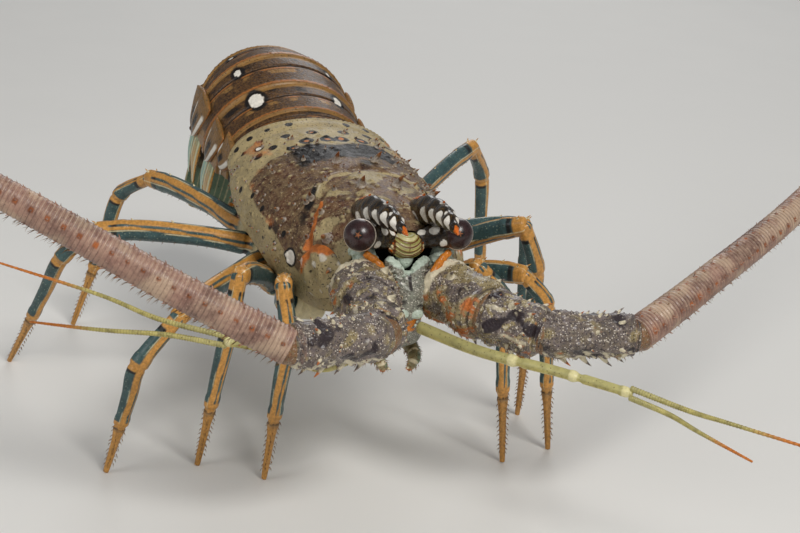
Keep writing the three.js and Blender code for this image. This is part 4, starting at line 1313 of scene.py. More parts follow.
def segment_marks(index, side):
    """The base is warm with red and yellow, the outer ones grey with pale and dark."""

    def marks(t, angle, points):
        ragged, fine = wobble(points, 3.2, index + side), wobble(points, 1.0, index + 5)
        above = np.cos(angle)
        if index == 0:
            pale = 0.95 * band(t, 0.3, 0.035, 0.04) * ease(-0.2, 0.3, above)
            pale = pale + 0.55 * ease(0.35, 0.8, fine)
            gold = ease(-0.2 * (side > 0), 0.5, ragged)
            gold = gold * ease(1.1, 0.4, above) * ease(-0.6, 0.1, fine)
            dark = 0.8 * ease(0.35, 0.8, -ragged) * ease(0.0, 0.6, fine)
            dark = dark + 0.6 * band(t, 0.97, 0.02, 0.02)
            second = ease(-0.5, 0.2, ragged + 0.3 * fine)
        elif index == 1:
            ridge = ease(0.55, 0.95, np.cos(7 * angle))
            pale = 0.55 * ease(0.45, 0.85, fine) + 0.6 * ridge * ease(0.0, 0.5, ragged)
            gold = 0.9 * ease(0.3, 0.6, ragged) * ease(0.2, -0.5, above)
            gold = gold + 0.5 * band(t, 0.9, 0.02, 0.04) * ease(0, 0.5, fine)
            dark = 0.85 * ease(0.15, 0.5, -ragged)
            second = ease(0.0, 0.5, fine)
        else:
            pale = 0.75 * ease(-0.45, -0.75, above) * ease(-0.3, 0.3, fine)
            pale = 0.45 * ease(0.5, 0.85, fine) + pale
            gold = 0.8 * ease(0.5, 0.8, ragged) * ease(-0.2, -0.7, above)
            gold = gold + 0.25 * band(t, 0.93, 0.025, 0.03)
            dark = 0.75 * ease(0.25, 0.6, -ragged) + 0.7 * ease(0.5, 0.8, fine + 0.3 * ragged)
            second = 0.8 * ease(0.0, 0.6, ragged)
        return channels(t.shape, pale, gold * (1 - np.clip(pale, 0, 1)), dark, second)

    return marks


def hinge_marks(t, angle, points):
    return channels(t.shape, gold=0.35, dark=0.5, second=0.8)


def hinge_skin(t, angle):
    return 0.14 * np.sin(50 * t)


SEGMENT_PARTS = ("base", "middle", "outer")
SEGMENT_SEED, SEGMENT_GRANULES, SEGMENT_SPINES = 101, 240, 34


def build_antennae(settings):
    for name, side in SIDES.items():
        for index, part in enumerate(SEGMENT_PARTS):
            form = build_segment(settings, name, side, index)
            dress(f"antenna_{part}_{name}", form, "antenna")


def build_segment(settings, name, side, index):
    """One thick segment, with its granules, spines and the hinge to the next."""
    joints = ANTENNA_JOINTS[name]
    start, end = segment_ends(joints, index)
    along = unit(end - start)
    across = unit(np.cross(along, Z_AXIS))
    above = np.cross(across, along)
    length, narrow = np.linalg.norm(end - start), ANTENNA_RADII[index * 2 + 1]
    draw = stream(SEGMENT_SEED + index * 7 + (side > 0))
    spots = []
    for _ in range(SEGMENT_GRANULES):
        spots.append((0.05 + 0.8 * next(draw), FULL * next(draw), 0.5 + 0.8 * next(draw)))

    def skin(t, angle):
        lift = 0.22 * np.cos(7 * angle) * np.sin(math.pi * np.clip(t, 0, 1))
        lift = lift + 0.45 * band(t, 0.9, 0.025, 0.03) - 0.35 * band(t, 0.96, 0.01, 0.02)
        for place, turn, radius in spots:
            gap = np.hypot((t - place) * length, turn_gap(angle, turn) * narrow)
            lift = lift + settings.granules * 0.42 * (1 - ease(0, radius, gap))
        return lift

    def spine(t, turn, height, width, lean, colours):
        out = above * math.cos(turn) + across * math.sin(turn)
        root = start + (end - start) * t + out * narrow * 0.97
        thorn(form, root, out, height, height * width, along * height * lean, colours)

    rows = segment_rows(joints, index)
    form = limb(rows, 96, 110, skin, segment_marks(index, side), caps=(0.3, 0.25))
    for t, degrees, height in segment_places(joints, index, side):
        colours = (1.0, 0.2, 0.2) if next(draw) < 0.75 else (0.9, 0.9, 0.2)
        spine(t, math.radians(degrees), height, 0.42, 0.9, colours)
    for n in range(SEGMENT_SPINES):
        turn, t, height = FULL * next(draw), 0.12 + 0.74 * next(draw), 0.7 + 0.8 * next(draw)
        spine(t, turn, height, 0.5, 0.7, (1.0, 0.35 * (n % 3), 0))
    following = np.array(joints[index + 2] if index < 2 else LASH_LINE[name][0], float)
    width = narrow * 0.74
    hinge = [
        (*(end - along * 3), width, width),
        (*end, width * 1.04, width * 1.04),
        (*(end + unit(following - end) * 3.4), width, width),
    ]
    return limb(hinge, 56, 50, hinge_skin, hinge_marks, form=form)


def lash_rows(name):
    points = [ANTENNA_JOINTS[name][3], *LASH_LINE[name]]
    return [(*point, radius, radius) for point, radius in zip(points, LASH_RADII)]


RING_SPACING, SPOT_SPACING = 1.2, 4.2
LASH_PARTS = ("first", "second", "third")
LASH_SEED, LASH_SHARES, FRINGE_SHARES = 211, 6001, 800


def build_lashes(settings):
    for name, side in SIDES.items():
        for index, part in enumerate(LASH_PARTS):
            form = build_lash(name, side, index)
            dress(f"antenna_lash_{part}_{name}", form, "lash")


def build_lash(name, side, index):
    """One stretch of a lash, ringed, with rows of spinules at its spots."""
    rows = lash_rows(name)
    line = np.array([row[:3] for row in rows])
    shares = np.linspace(0, 1, LASH_SHARES)
    lengths = curve_length(line, shares)

    def rings(t):
        return np.interp(t, shares, lengths) / RING_SPACING

    def skin(t, angle):
        place = rings(t)
        wave = np.sin(place * 2 * math.pi) * 0.1 + 0.04 * np.sin(place * math.pi)
        return wave * (1 - 0.6 * t)

    def marks(t, angle, points):
        place = rings(t)
        wave, ragged = np.sin(place * 2 * math.pi), wobble(points, 5, side)
        spots = band(place * RING_SPACING % SPOT_SPACING, SPOT_SPACING / 2, 0.5, 0.35)
        spots = spots * ease(0.6, 0.85, np.cos(5 * angle))
        dark = most(0.45 * ease(-0.3, -0.9, wave), 0.6 * spots * ease(0.95, 0.7, t))
        gold = 0.6 * spots + 0.35 * ease(0.3, 0.8, -ragged) * ease(0.5, 0.1, t)
        # Paler ring crests on the upper side: a painted highlight.
        pale = 0.45 * ease(0.4, 0.95, wave) * ease(-0.4, 0.6, np.cos(angle)) * (1 - spots)
        return channels(t.shape, pale, gold, dark, 0.8 * ease(-0.3, 0.6, ragged))

    start, end = LASH_CUTS[index : index + 2]
    first, last = np.interp([start, end], shares, lengths)
    steps, caps = int((last - first) / RING_SPACING * 5), (0.0, 0.5 if index == 2 else 0.0)
    sides, tall = ((40, 0.9), (32, 0.75), (24, 0.5))[index]
    form = limb(rows, sides, steps, skin, marks, start=start, end=end, caps=caps)
    draw = stream(LASH_SEED + index + (side > 0) * 9)
    spots = np.arange(math.ceil(first / SPOT_SPACING), int(last / SPOT_SPACING))
    for spot in (spots + 0.5) * SPOT_SPACING:
        place = place_on(rows, np.interp(spot, lengths, shares))
        centre, tangent, across, above, size = place
        for column in range(5):
            turn = math.radians(72 * column + 10 * (next(draw) - 0.5))
            out = across * math.sin(turn) + above * math.cos(turn)
            height = tall * (0.7 + 0.5 * next(draw))
            root, lean = centre + out * size[0] * 0.98, tangent * height * 0.8
            thorn(form, root, out, height, height * 0.42, lean, (0.1, 0.7, 0.8), sides=5)
    return form


# Antennules

ANTENNULE_RADII = (1.7, 1.5, 1.35, 1.15)
THREAD_RADII = (0.8, 0.7, 0.55, 0.3)
THREAD_RINGS = 420


def antennule_skin(t, angle):
    swell = bands(t, (0.475, 0.735, 0.97), 0.01, 0.016)
    return 0.22 * swell - 0.3 * bands(t, (0.5, 0.76), 0.006, 0.02) + 0.06 * np.cos(5 * angle)


def antennule_marks(t, angle, points):
    swell = bands(t, (0.475, 0.735, 0.98), 0.012, 0.015)
    # Pale streaks along the antennule: painted highlights; the pale knuckles are its own colour.
    pale = most(0.5 * ease(0.3, 0.8, np.cos(2 * angle + 0.8)), 0.8 * swell)
    above = np.cos(angle)
    # Darker on the underside: painted shade.
    dark = 0.4 * ease(0.5, 1, -above)
    return channels(t.shape, pale, 0.3 * swell, dark, ease(-0.5, 0.4, above))


def thread_skin(t, angle):
    return 0.07 * np.sin(t * THREAD_RINGS) * (1 - 0.6 * t)


def thread_marks(t, angle, points):
    dark = 0.45 * ease(0.3, 0.9, np.sin(t * THREAD_RINGS))
    return channels(t.shape, 0, ease(0.6, 0.95, t), dark, 0.6 * ease(0.5, 0.1, t))


def build_antennules(settings):
    for name in SIDES:
        joints = ANTENNULE_JOINTS[name]
        rows = [(*point, radius, radius) for point, radius in zip(joints, ANTENNULE_RADII)]
        form = limb(rows, 32, 160, antennule_skin, antennule_marks)
        dress(f"antennule_{name}", form, "thread")
        for part, points in THREADS[name].items():
            x, y, z = joints[3]
            points = [(x, y, z + (1.25 if part == "upper" else -1.25)), *points]
            rows = [(*point, radius, radius) for point, radius in zip(points, THREAD_RADII)]
            form = limb(rows, 12, 420, thread_skin, thread_marks)
            dress(f"antennule_{part}_{name}", form, "thread")


# Legs


def upper_rows(name, index):
    sign = SIDES[name]
    y = COXA_FRONT + COXA_PITCH * index
    half, _, _, margin = station(SHELL, y)[0]
    knee = np.array(LEGS[name][index][0], float)
    root = np.array([sign * half * 0.86, y + (knee[1] - y) * 0.05, margin - 5.4])

    def at(t, lift):
        return root + (knee - root) * t + np.array([0, 0, lift])

    return [
        (sign * COXA_INNER, y, margin - 7.4, 4.2, 4.6),
        (sign * (COXA_INNER + 6), y, margin - 6.6, 4.5, 4.6),
        (*root, 3.2, 3.6),
        (*at(0.3, 1.2), 2.5, 3.1),
        (*at(0.7, 1.4), 2.4, 3.2),
        (*knee, 2.2, 2.6),
    ]


def lower_rows(name, index):
    knee, wrist, foot = (np.array(value, float) for value in LEGS[name][index])
    tip = np.array([foot[0], foot[1], FLOOR])

    def at(t):
        return wrist + (tip - wrist) * t

    return [
        (*knee, 1.9, 2.2),
        (*wrist, 2.2, 2.5),
        (*at(0.3), 1.9, 2.2),
        (*at(0.62), 1.5, 1.7),
        (tip[0], tip[1], FLOOR, FOOT_FLAT, FOOT_FLAT),
    ]


def leg_stripes(t, angle, shift):
    """Long gold and blue-green stripes with thin pale edges."""
    wave = 2 * (angle + shift + 0.25 * np.sin(5 * t))
    gold = ease(0.1, 0.45, np.cos(wave)) * (1 - 0.8 * band(np.cos(wave + 0.5), 0.99, 0.02, 0.03))
    return gold, band(np.cos(wave), 0.1, 0.06, 0.1)


def upper_skin(t, angle):
    swell, joints = bands(t, (0.36, 0.9, 0.97), 0.02, 0.03), bands(t, (0.2, 0.4), 0.006, 0.02)
    return 0.25 * swell - 0.4 * joints + 0.07 * np.cos(6 * angle)


def lower_skin(t, angle):
    swell, joints = bands(t, (0.24, 0.68), 0.02, 0.03), bands(t, (0.27, 0.715), 0.004, 0.014)
    claw = 0.35 * ease(0.72, 0.8, t) * ease(1.0, 0.8, t)
    return 0.25 * swell - 0.3 * joints - claw + 0.06 * np.cos(6 * angle)


def lower_marks(index):
    def marks(t, angle, points):
        gold, edge = leg_stripes(t, angle, 0.3 * index + 1.2)
        claw, tip = ease(0.7, 0.76, t), ease(0.93, 0.97, t)
        gold = most(gold * (1 - claw), bands(t, (0.04, 0.27, 0.7), 0.014, 0.02), 0.75 * claw)
        dark = most(0.85 * bands(t, (0.075, 0.3, 0.725), 0.006, 0.01), 0.8 * tip)
        return channels(t.shape, 0.6 * edge * (1 - claw), gold, dark, 0.4)

    return marks


def upper_marks(index):
    def marks(t, angle, points):
        gold, edge = leg_stripes(t, angle, 0.3 * index)
        coxa = ease(0.4, 0.34, t)
        gold = most(gold * (1 - coxa), ease(0.93, 0.96, t))
        spots = ease(0.5, 0.8, wobble(points, 1.2, index))
        dark = most(0.9 * bands(t, (0.405, 0.92), 0.008, 0.012), 0.8 * spots * coxa)
        return channels(t.shape, most(0.85 * coxa, 0.7 * edge), gold, dark, 0.5 * (1 - coxa))

    return marks


def build_legs(settings):
    for name, sign in SIDES.items():
        for index in range(5):
            rows = upper_rows(name, index)
            form = limb(rows, 40, 150, upper_skin, upper_marks(index))
            knee, before = np.array(rows[5][:3]), np.array(rows[4][:3])
            along = unit(knee - before)
            for side in (-1, 1):
                out = unit((0.5 * side, 0, 0.87))
                root = knee - along * 1.4 + out * 2
                thorn(form, root, out, 1.8, 0.75, along * 1.3, (1.0, 0.9, 0))
            for t, lift in ((0.55, 2.8), (0.7, 3.1), (0.84, 3.0)):
                root = place_on(rows, t)[0] + Z_AXIS * lift
                thorn(form, root, Z_AXIS, 0.7, 0.45, along * 0.7, (0.9, 0.8, 0))
            dress(f"leg_{index + 1}_upper_{name}", form, "leg")
            rows = lower_rows(name, index)
            rows[-1] = (*rows[-1][:2], FLOOR + 0.35, 0.75, 0.75)
            skin, marks, up = lower_skin, lower_marks(index), X_AXIS * sign
            form = limb(rows, 36, 190, skin, marks, up=up, caps=(0.6, 0.45))
            dress(f"leg_{index + 1}_lower_{name}", form, "leg")


# Abdomen and tail fan


def tail_frame(at):
    """Top line point, direction, normal, half width and depth at joint numbers."""
    at = np.atleast_1d(np.asarray(at, float))
    last = len(TAIL_LINE) - 1
    inside = np.clip(at, 0, last)
    points = np.column_stack([np.zeros(len(TAIL_LINE)), TAIL_LINE[:, 0], TAIL_LINE[:, 1]])
    tangent = heading(points, inside / last)
    normal = np.column_stack([np.zeros(len(at)), -tangent[:, 2], tangent[:, 1]])
    rows = np.column_stack([np.arange(len(TAIL_LINE)), TAIL_LINE[:, 2:]])
    half, depth = station(rows, inside).T
    point = through(points, inside / last) + tangent * ((at - inside) * RING_PITCH)[:, None]
    return point, tangent, normal, half, depth


RING_LIMIT, RING_ARCH = math.pi * 0.66, 98


def ring_points(at, angle, grow):
    """Rings of the abdomen's skin at joint numbers, each lifted by its own amount."""
    point, _, normal, half, depth = tail_frame(at)
    turn, side = np.abs(angle)[None], np.sign(angle)[None]
    centre = (point - normal * depth[:, None])[:, None]
    half, depth = half[:, None], depth[:, None]
    bend = np.minimum(turn / RING_LIMIT, 1) * math.radians(RING_ARCH)
    rise = np.cos(bend)
    x = side * np.sin(bend) * (half + grow)
    up = np.where(rise > 0, rise * (depth + grow), rise * depth)
    inward = (math.pi - turn) / (math.pi - RING_LIMIT)
    under = turn > RING_LIMIT
    x = np.where(under, side * inward * half * 0.98, x)
    up = np.where(under, -0.14 * depth, up)
    return centre + x[..., None] * X_AXIS + up[..., None] * normal[:, None]


# White spots with dark rims: for each ring its place, degrees from the middle and radius.
RING_SPOTS = {1: (0.56, 32, 2.4), 2: (0.6, 36, 1.1), 3: (0.6, 34, 0.8), 4: (0.6, 34, 0.7)}


def ring_marks(index, share, degrees, rings):
    ragged = wobble(rings, 3.0, index)
    gold = 0.8 * band(share, 0.4, 0.015, 0.03) * ease(-0.4, 0.3, ragged)
    gold = 0.9 * band(share, 0.9, 0.02, 0.03) + gold
    second = most(
        band(share, 0.8, 0.035, 0.05),
        band(share, 0.3, 0.03, 0.05) * ease(-0.2, 0.4, ragged),
        ease(76, 88, degrees + 6 * ragged),
    )
    pale = 0.7 * band(share, 0.6, 0.05, 0.06) * ease(84, 92, degrees)
    dark = 0.7 * band(share, 0.66, 0.06, 0.05) * ease(0.0, 0.5, ragged)
    # Besides the dark line across the middle, the front of each ring, tucked under the ring before,
    # is dark: painted shade.
    dark = most(0.6 * band(share, 0.48, 0.01, 0.03) + dark, ease(0.02, -0.04, share))
    for side in (-1, 1) if index in RING_SPOTS else ():
        place, turn, radius = RING_SPOTS[index]
        size = radius if side < 0 else 0.6 * radius
        turn = np.array([side * math.radians(turn) * RING_LIMIT / math.radians(RING_ARCH)])
        away = rings - ring_points([index + place], turn, 0.0)[0, 0]
        along = away @ tail_frame(index + place)[1][0]
        near = np.sqrt((away**2).sum(axis=-1) - 0.45 * along**2)
        dark = most(dark, 0.9 * ease(size + 2.2, size + 0.8, near))
        gold = gold * ease(size, size + 1.0, near)
        second = second * ease(size, size + 1.5, near)
        pale = most(pale, 1.5 * ease(size + 0.3, size - 0.2, near))
    return channels(share.shape, pale, gold, dark * (1 - np.clip(pale, 0, 1)), second)


def build_abdomen(settings):
    angle = np.linspace(-math.pi, math.pi, 180, endpoint=False) + 1e-4
    share, turn = grid(np.linspace(-0.14, 1.0, 72), angle)
    degrees = np.abs(turn) / RING_LIMIT * RING_ARCH
    grow = -0.9 * ease(0.04, -0.06, share)
    grow = grow + 0.6 * ease(0.8, 0.86, share) * ease(1.02, 0.96, share)
    grow = grow - 0.4 * band(share, 0.47, 0.02, 0.03) * ease(84, 70, degrees)
    grow = grow + 0.16 * ease(0.2, 0.9, np.cos(degrees * 1.5)) * ease(0.84, 0.9, share)
    fine = np.sin(degrees * 2.3 + 4 * np.sin(share * 9)) * ease(0.3, 0.7, np.sin(share * 40))
    for index in range(6):
        rings = ring_points(index + np.minimum(share[:, 0], 0.985), angle, grow + 0.07 * fine)
        form = closed_tube(Form(), rings, ring_marks(index, share, degrees, rings))
        for side in (-1, 1):
            pleuron(form, index, side)
        dress(f"abdomen_{index + 1}", form, "tail")


def pleuron_marks(t, angle, points):
    wide = np.sin(angle)
    pale = band(np.abs(wide), 0.72, 0.1, 0.12) * ease(0.15, 0.35, t) + 0.5 * ease(0.9, 1, t)
    gold, dark = 0.7 * ease(0.9, 0.99, np.abs(wide)), 0.8 * band(wide, 0, 0.2, 0.2)
    return channels(t.shape, 0.9 * pale, gold, dark * ease(0.2, 0.5, t), 0.6)


def pleuron_skin(t, angle):
    return 0.1 * np.cos(5 * angle) * np.sin(math.pi * t)


def pleuron(form, index, side):
    """A pointed side plate, pale along its front edge."""
    point, tangent, normal, half, depth = (value[0] for value in tail_frame(index + 0.5))
    length = PLEURON_LENGTH[index]

    def edge(t, down, out):
        sideways = X_AXIS * side * (half + out)
        return point + sideways + tangent * t - normal * (depth * 0.78 + down)

    rows = [
        (*edge(0, -5, -1.6), 5.4, 1),
        (*edge(0.6, 0, -0.6), 5.2, 1.1),
        (*edge(1.6, length * 0.55, 0.4), 3.6, 0.9),
        (*edge(3.6, length, 0.2), 0.5, 0.4),
    ]
    limb(rows, 36, 44, pleuron_skin, pleuron_marks, up=X_AXIS, form=form)
    if length > 6:
        root = edge(2.6, length * 0.8, 0.3) + tangent * 2.2
        thorn(form, root, tangent - normal * 0.6, 1.6, 0.7, colours=(1, 0.4, 0))


def swimmeret_rows(index, side, back, width):
    point, tangent, normal, half, depth = (value[0] for value in tail_frame(index + 0.5))
    reach = SWIMMERET_LENGTH[index]
    root = point + X_AXIS * side * half * 0.9 - normal * depth * 0.74

    def at(down, t, out):
        return tuple(root + X_AXIS * side * out + tangent * t - normal * down)

    return [
        (*at(-2, back, 0), width * 0.4, 0.8),
        (*at(reach * 0.3, back + 0.3, 1.5), width * 0.8, 0.55),
        (*at(reach * 0.65, back + 0.9, 2.2), width, 0.45),
        (*at(reach, back + 1.5, 1.2), width * 0.35, 0.3),
    ]


def swimmeret_places():
    for index, length in enumerate(SWIMMERET_LENGTH):
        for side in (-1, 1):
            if length > 0:
                yield index, side, -1.5, 3.9
            if length > 20:
                yield index, side, 4.2, 2.2


def build_swimmerets(settings):
    form = Form()
    for index, side, back, width in swimmeret_places():

        def marks(t, angle, points):
            wide = np.abs(np.sin(angle))
            gold = 0.8 * ease(0.85, 0.98, wide) + (0.6 if back < 0 else 0) * ease(0.2, 0.6, t)
            pale, second = 0.7 * band(wide, 0.55, 0.12, 0.15), 0.9 if back > 0 else 0.2
            return channels(t.shape, pale, gold, 0, second)

        def skin(t, angle):
            return 0.08 * np.sin(angle * 9) * np.sin(math.pi * t)

        rows = swimmeret_rows(index, side, back, width)
        limb(rows, 40, 50, skin, marks, up=X_AXIS, form=form)
    make("swimmerets", form, "swimmeret")


def blade_rows(kind, side):
    yaw, lift, length, width, out = FAN_BLADES[kind]
    yaw = side * math.radians(yaw)
    back = np.array([0, math.cos(FAN_PITCH), -math.sin(FAN_PITCH)])
    normal = np.array([0, math.sin(FAN_PITCH), math.cos(FAN_PITCH)])
    direction = X_AXIS * math.sin(yaw) + back * math.cos(yaw)
    root = tail_frame(6)[0][0] + normal * (lift - 6.5) + X_AXIS * side * out + back * 0.8

    def at(t, sag):
        return tuple(root + direction * length * t - normal * sag)

    rows = [
        (*at(0, 0), width * 0.5, 1.5),
        (*at(0.25, -0.4), width * 0.78, 1.2),
        (*at(0.6, -0.4), width, 0.9),
        (*at(0.88, 0.2), width * 0.94, 0.7),
        (*at(1, 1), width * 0.6, 0.45),
    ]
    return rows, normal


BLADES = [("telson", 1)]
BLADES += [(kind, side) for side in (-1, 1) for kind in ("uropod_inner", "uropod_outer")]


def blade_marks(t, angle, points):
    wide = np.sin(angle)
    ribs = ease(0.3, 0.9, np.cos(wide * 26)) * ease(0.35, 0.5, t)
    gold = 0.8 * band(t, 0.9, 0.03, 0.04) + 0.5 * ease(0.93, 1, np.abs(wide))
    pale, dark = 0.5 * ribs + 0.6 * ease(0.95, 1, t), 0.7 * band(t, 0.42, 0.03, 0.05)
    return channels(t.shape, pale, gold, dark, ease(0.45, 0.6, t))


def blade_skin(t, angle):
    wide = np.sin(angle)
    ribs = 0.13 * np.cos(wide * 26) * ease(0.35, 0.5, t)
    return ribs + 0.16 * band(wide, 0, 0.08, 0.1) - 0.15 * band(t, 0.42, 0.01, 0.03)


def build_fan(settings):
    names = {side: name for name, side in SIDES.items()}
    for kind, side in BLADES:
        rows, up = blade_rows(kind, side)
        form = limb(rows, 96, 90, blade_skin, blade_marks, up=up, caps=(0.4, 0.6))
        for t, across in ((0.2, 0.3), (0.3, -0.3), (0.36, 0.1), (0.36, 0.6), (0.36, -0.6)):
            centre, tangent, sideways, above, size = place_on(rows, t, up)
            root = centre + sideways * across * size[0]
            root = root + above * size[1] * math.sqrt(1 - across**2)
            thorn(form, root, above, 0.7, 0.4, tangent * 0.8, (0.8, 0.8, 0))
        label = kind if kind == "telson" else f"{kind}_{names[side]}"
        dress(label, form, "fan")


# Bristles: fringes of solid hairs, each tuft with its own patch of the colour map


def patch(column, columns, along, around):
    """The tuft's place on the unwrap of its skin: one column for each limb."""
    return ((column + 0.04 + 0.9 * around) / columns, 0.01 + 0.97 * along)


def fringe(
    form,
    rows,
    turns,
    spacing,
    length,
    column,
    columns,
    up=Z_AXIS,
    start=0.0,
    end=1.0,
    lean=0.5,
    scatter=0.5,
    seed=3,
    **hair,
):
    """Tufts in lines along a limb, at the given turns in degrees from its upper side."""
    rows = np.asarray(rows, float)
    shares = np.linspace(start, end, FRINGE_SHARES)
    lengths = curve_length(rows[:, :3], shares)
    draw = stream(seed)
    tufts = []
    for turn in turns:
        reach = next(draw) * spacing
        while reach < lengths[-1]:
            t = float(np.interp(reach, lengths, shares))
            centre, tangent, side, normal, size = place_on(rows, t, up)
            angle = math.radians(turn + 40 * scatter * (next(draw) - 0.5))
            across, above = side * math.sin(angle), normal * math.cos(angle)
            place = patch(column, columns, (t - start) / (end - start), angle % FULL / FULL)
            root = centre + across * size[0] + above * size[1]
            tufts.append((root, across + above + tangent * lean, place))
            reach += spacing * (0.75 + 0.5 * next(draw))
    hairs(form, tufts, length, seed=seed, **hair)


# Turns, spacing and length of the bristles on the three thick segments of an antenna.
SEGMENT_FRINGES = [
    ((200, 240, 300, 160, 120), 1.2, 1.5),
    ((180, 220, 140, 260), 1.5, 1.4),
    ((180, 200, 160), 1.6, 1.5),
]
BRISTLE_SEEDS = dict(antennae=31, lashes=51, legs=61, jaws=81, fan=91, leaves=95)


def build_bristles(settings):
    long, seeds = settings.bristles, BRISTLE_SEEDS
    antennae, lashes, legs, jaws, tail = (Form() for _ in range(5))
    for column, (name, side) in enumerate(SIDES.items()):
        for index, (turns, spacing, length) in enumerate(SEGMENT_FRINGES):
            rows, place = segment_rows(ANTENNA_JOINTS[name], index), column * 3 + index
            span = dict(start=0.1, end=0.95, seed=seeds["antennae"] + index + column)
            fringe(antennae, rows, turns, spacing, long * length, place, 6, **span)
        rows, seed = lash_rows(name), seeds["lashes"] + column
        lower, beyond = dict(end=0.62, droop=0.12), dict(start=0.62, end=0.97, droop=0.1)
        fringe(lashes, rows, (165, 195), 1.7, long * 2.3, column, 2, lean=0.7, seed=seed, **lower)
        beyond |= dict(lean=0.7, count=2, seed=seed + 4)
        fringe(lashes, rows, (180,), 3.0, long * 1.6, column, 2, **beyond)
        upper = dict(end=0.5, lean=0.8, count=2, droop=0.0, seed=seed + 6)
        fringe(lashes, rows, (20, 340), 5.0, long * 1.0, column, 2, **upper)
        for index in range(5):
            place = (column * 5 + index) * 2
            rows, turns = lower_rows(name, index), (0, 72, 144, 216, 288)
            span = dict(start=0.72, end=0.96, lean=1.2, seed=seeds["legs"] + place)
            fringe(legs, rows, turns, 1.5, long * 1.1, place, 20, up=X_AXIS * side, **span)
            rows = upper_rows(name, index)
            span = dict(start=0.45, end=0.95, lean=0.9, count=2, seed=seeds["legs"] + place + 1)
            fringe(legs, rows, (150, 210), 3.2, long * 1.0, place + 1, 20, **span)
        rows, turns = mirrored(side, JAW_ROWS), (0, 60, 120, 180, 240, 300)
        span = dict(up=X_AXIS, start=0.35, end=0.98, lean=0.8, seed=seeds["jaws"] + column)
        fringe(jaws, rows, turns, 1.1, long * 1.3, column, 2, **span)
    tufts = []
    for column, (kind, side) in enumerate(sorted(BLADES)):
        rows, up = blade_rows(kind, side)
        for across in np.linspace(-0.95, 0.95, 30):
            t = 0.985 - 0.09 * across**2
            centre, tangent, sideways, _, size = place_on(rows, t, up)
            place = patch(column, 12, t, (across + 1) / 2)
            way = tangent + sideways * across * 0.4
            tufts.append((centre + sideways * across * size[0], way, place))
    hairs(tail, tufts, long * 1.5, 0.09, count=5, droop=0.0, seed=seeds["fan"])
    for column, leaf in enumerate(swimmeret_places()):
        rows, place = swimmeret_rows(*leaf), 5 + column % 7
        span = dict(up=X_AXIS, start=0.3, end=0.98, lean=0.9, scatter=0.1)
        span |= dict(droop=0.0, seed=seeds["leaves"] + column)
        fringe(tail, rows, (90, 270), 1.2, long * 1.2, place, 12, **span)
    make("bristles_antennae", antennae, "bristle")
    make("bristles_lashes", lashes, "bristle")
    make("bristles_legs", legs, "bristle")
    make("bristles_jaws", jaws, "bristle")
    make("bristles_tail", tail, "bristle")


# Floor, lights and camera: places in metres, turns in degrees, power in watts

FLOOR_HALF = 4
AIM = (-0.0005, 0.0, 0.019)
CAMERA_DISTANCE, CAMERA_LENS, SENSOR_WIDTH = 0.483, 80, 36
CAMERA_TURN, CAMERA_RISE, CAMERA_ROLL = -22, 17, 5.5
LIGHT_TARGET = Vector((0, 0, 0.06))
# Name, place, size, power at a light setting of one, colour.
LAMPS = [
    ("key", (0.15, -1.0, 1.15), 0.5, 15, (1.0, 0.98, 0.95)),
    ("side", (-1.2, -0.3, 0.7), 0.7, 4, (1, 1, 1)),
    ("back", (0.6, 1.2, 0.9), 0.7, 5, (1, 1, 1)),
]
ROOM_COLOUR, ROOM_STRENGTH = (0.9, 0.92, 0.95, 1), 0.22


def place_lamp(name, place, size, power, tint):
    data = bpy.data.lights.new(name, "AREA")
    data.energy, data.size, data.color = power, size, tint
    lamp = bpy.data.objects.new(name, data)
    lamp.location = place
    lamp.rotation_mode = "QUATERNION"
    lamp.rotation_quaternion = (LIGHT_TARGET - lamp.location).to_track_quat("-Z", "Y")
    bpy.context.scene.collection.objects.link(lamp)


def place_camera():
    turn, rise, roll = map(math.radians, (CAMERA_TURN, CAMERA_RISE, CAMERA_ROLL))
    level = Vector((math.cos(turn), math.sin(turn), 0))
    back = Vector((math.sin(turn), -math.cos(turn), 0)) * math.cos(rise)
    back.z = math.sin(rise)
    upright = back.cross(level)
    right = math.cos(roll) * level + math.sin(roll) * upright
    up = -math.sin(roll) * level + math.cos(roll) * upright
    place = Vector(AIM) + Vector(SHIFT / 1000) + back * CAMERA_DISTANCE
    data = bpy.data.cameras.new("camera")
    data.lens, data.sensor_width = CAMERA_LENS, SENSOR_WIDTH
    data.clip_start, data.clip_end = 0.01, 100
    camera = bpy.data.objects.new("camera", data)
    turned = Matrix((right, up, back)).transposed().to_4x4()
    camera.matrix_world = Matrix.Translation(place) @ turned
    bpy.context.scene.collection.objects.link(camera)
    bpy.context.scene.camera = camera


def build_stage(settings):
    scene = bpy.context.scene
    mesh = bpy.data.meshes.new("floor")
    corners = [(x * FLOOR_HALF, y * FLOOR_HALF, 0) for x, y in ((-1, -1), (1, -1), (1, 1), (-1, 1))]
    mesh.from_pydata(corners, [], [(0, 1, 2, 3)])
    floor_finish(tuple(settings.floor))
    mesh.materials.append(bpy.data.materials["floor finish"])
    floor = bpy.data.objects.new("floor", mesh)
    scene.collection.objects.link(floor)
    world = bpy.data.worlds.new("soft room")
    world.use_nodes = True
    background = world.node_tree.nodes["Background"].inputs
    background["Color"].default_value = ROOM_COLOUR
    background["Strength"].default_value = ROOM_STRENGTH
    scene.world = world
    for name, place, size, power, tint in LAMPS:
        place_lamp(name, place, size, settings.light * power, tint)
    place_camera()
    scene.view_settings.view_transform = "Standard"


# The add-on


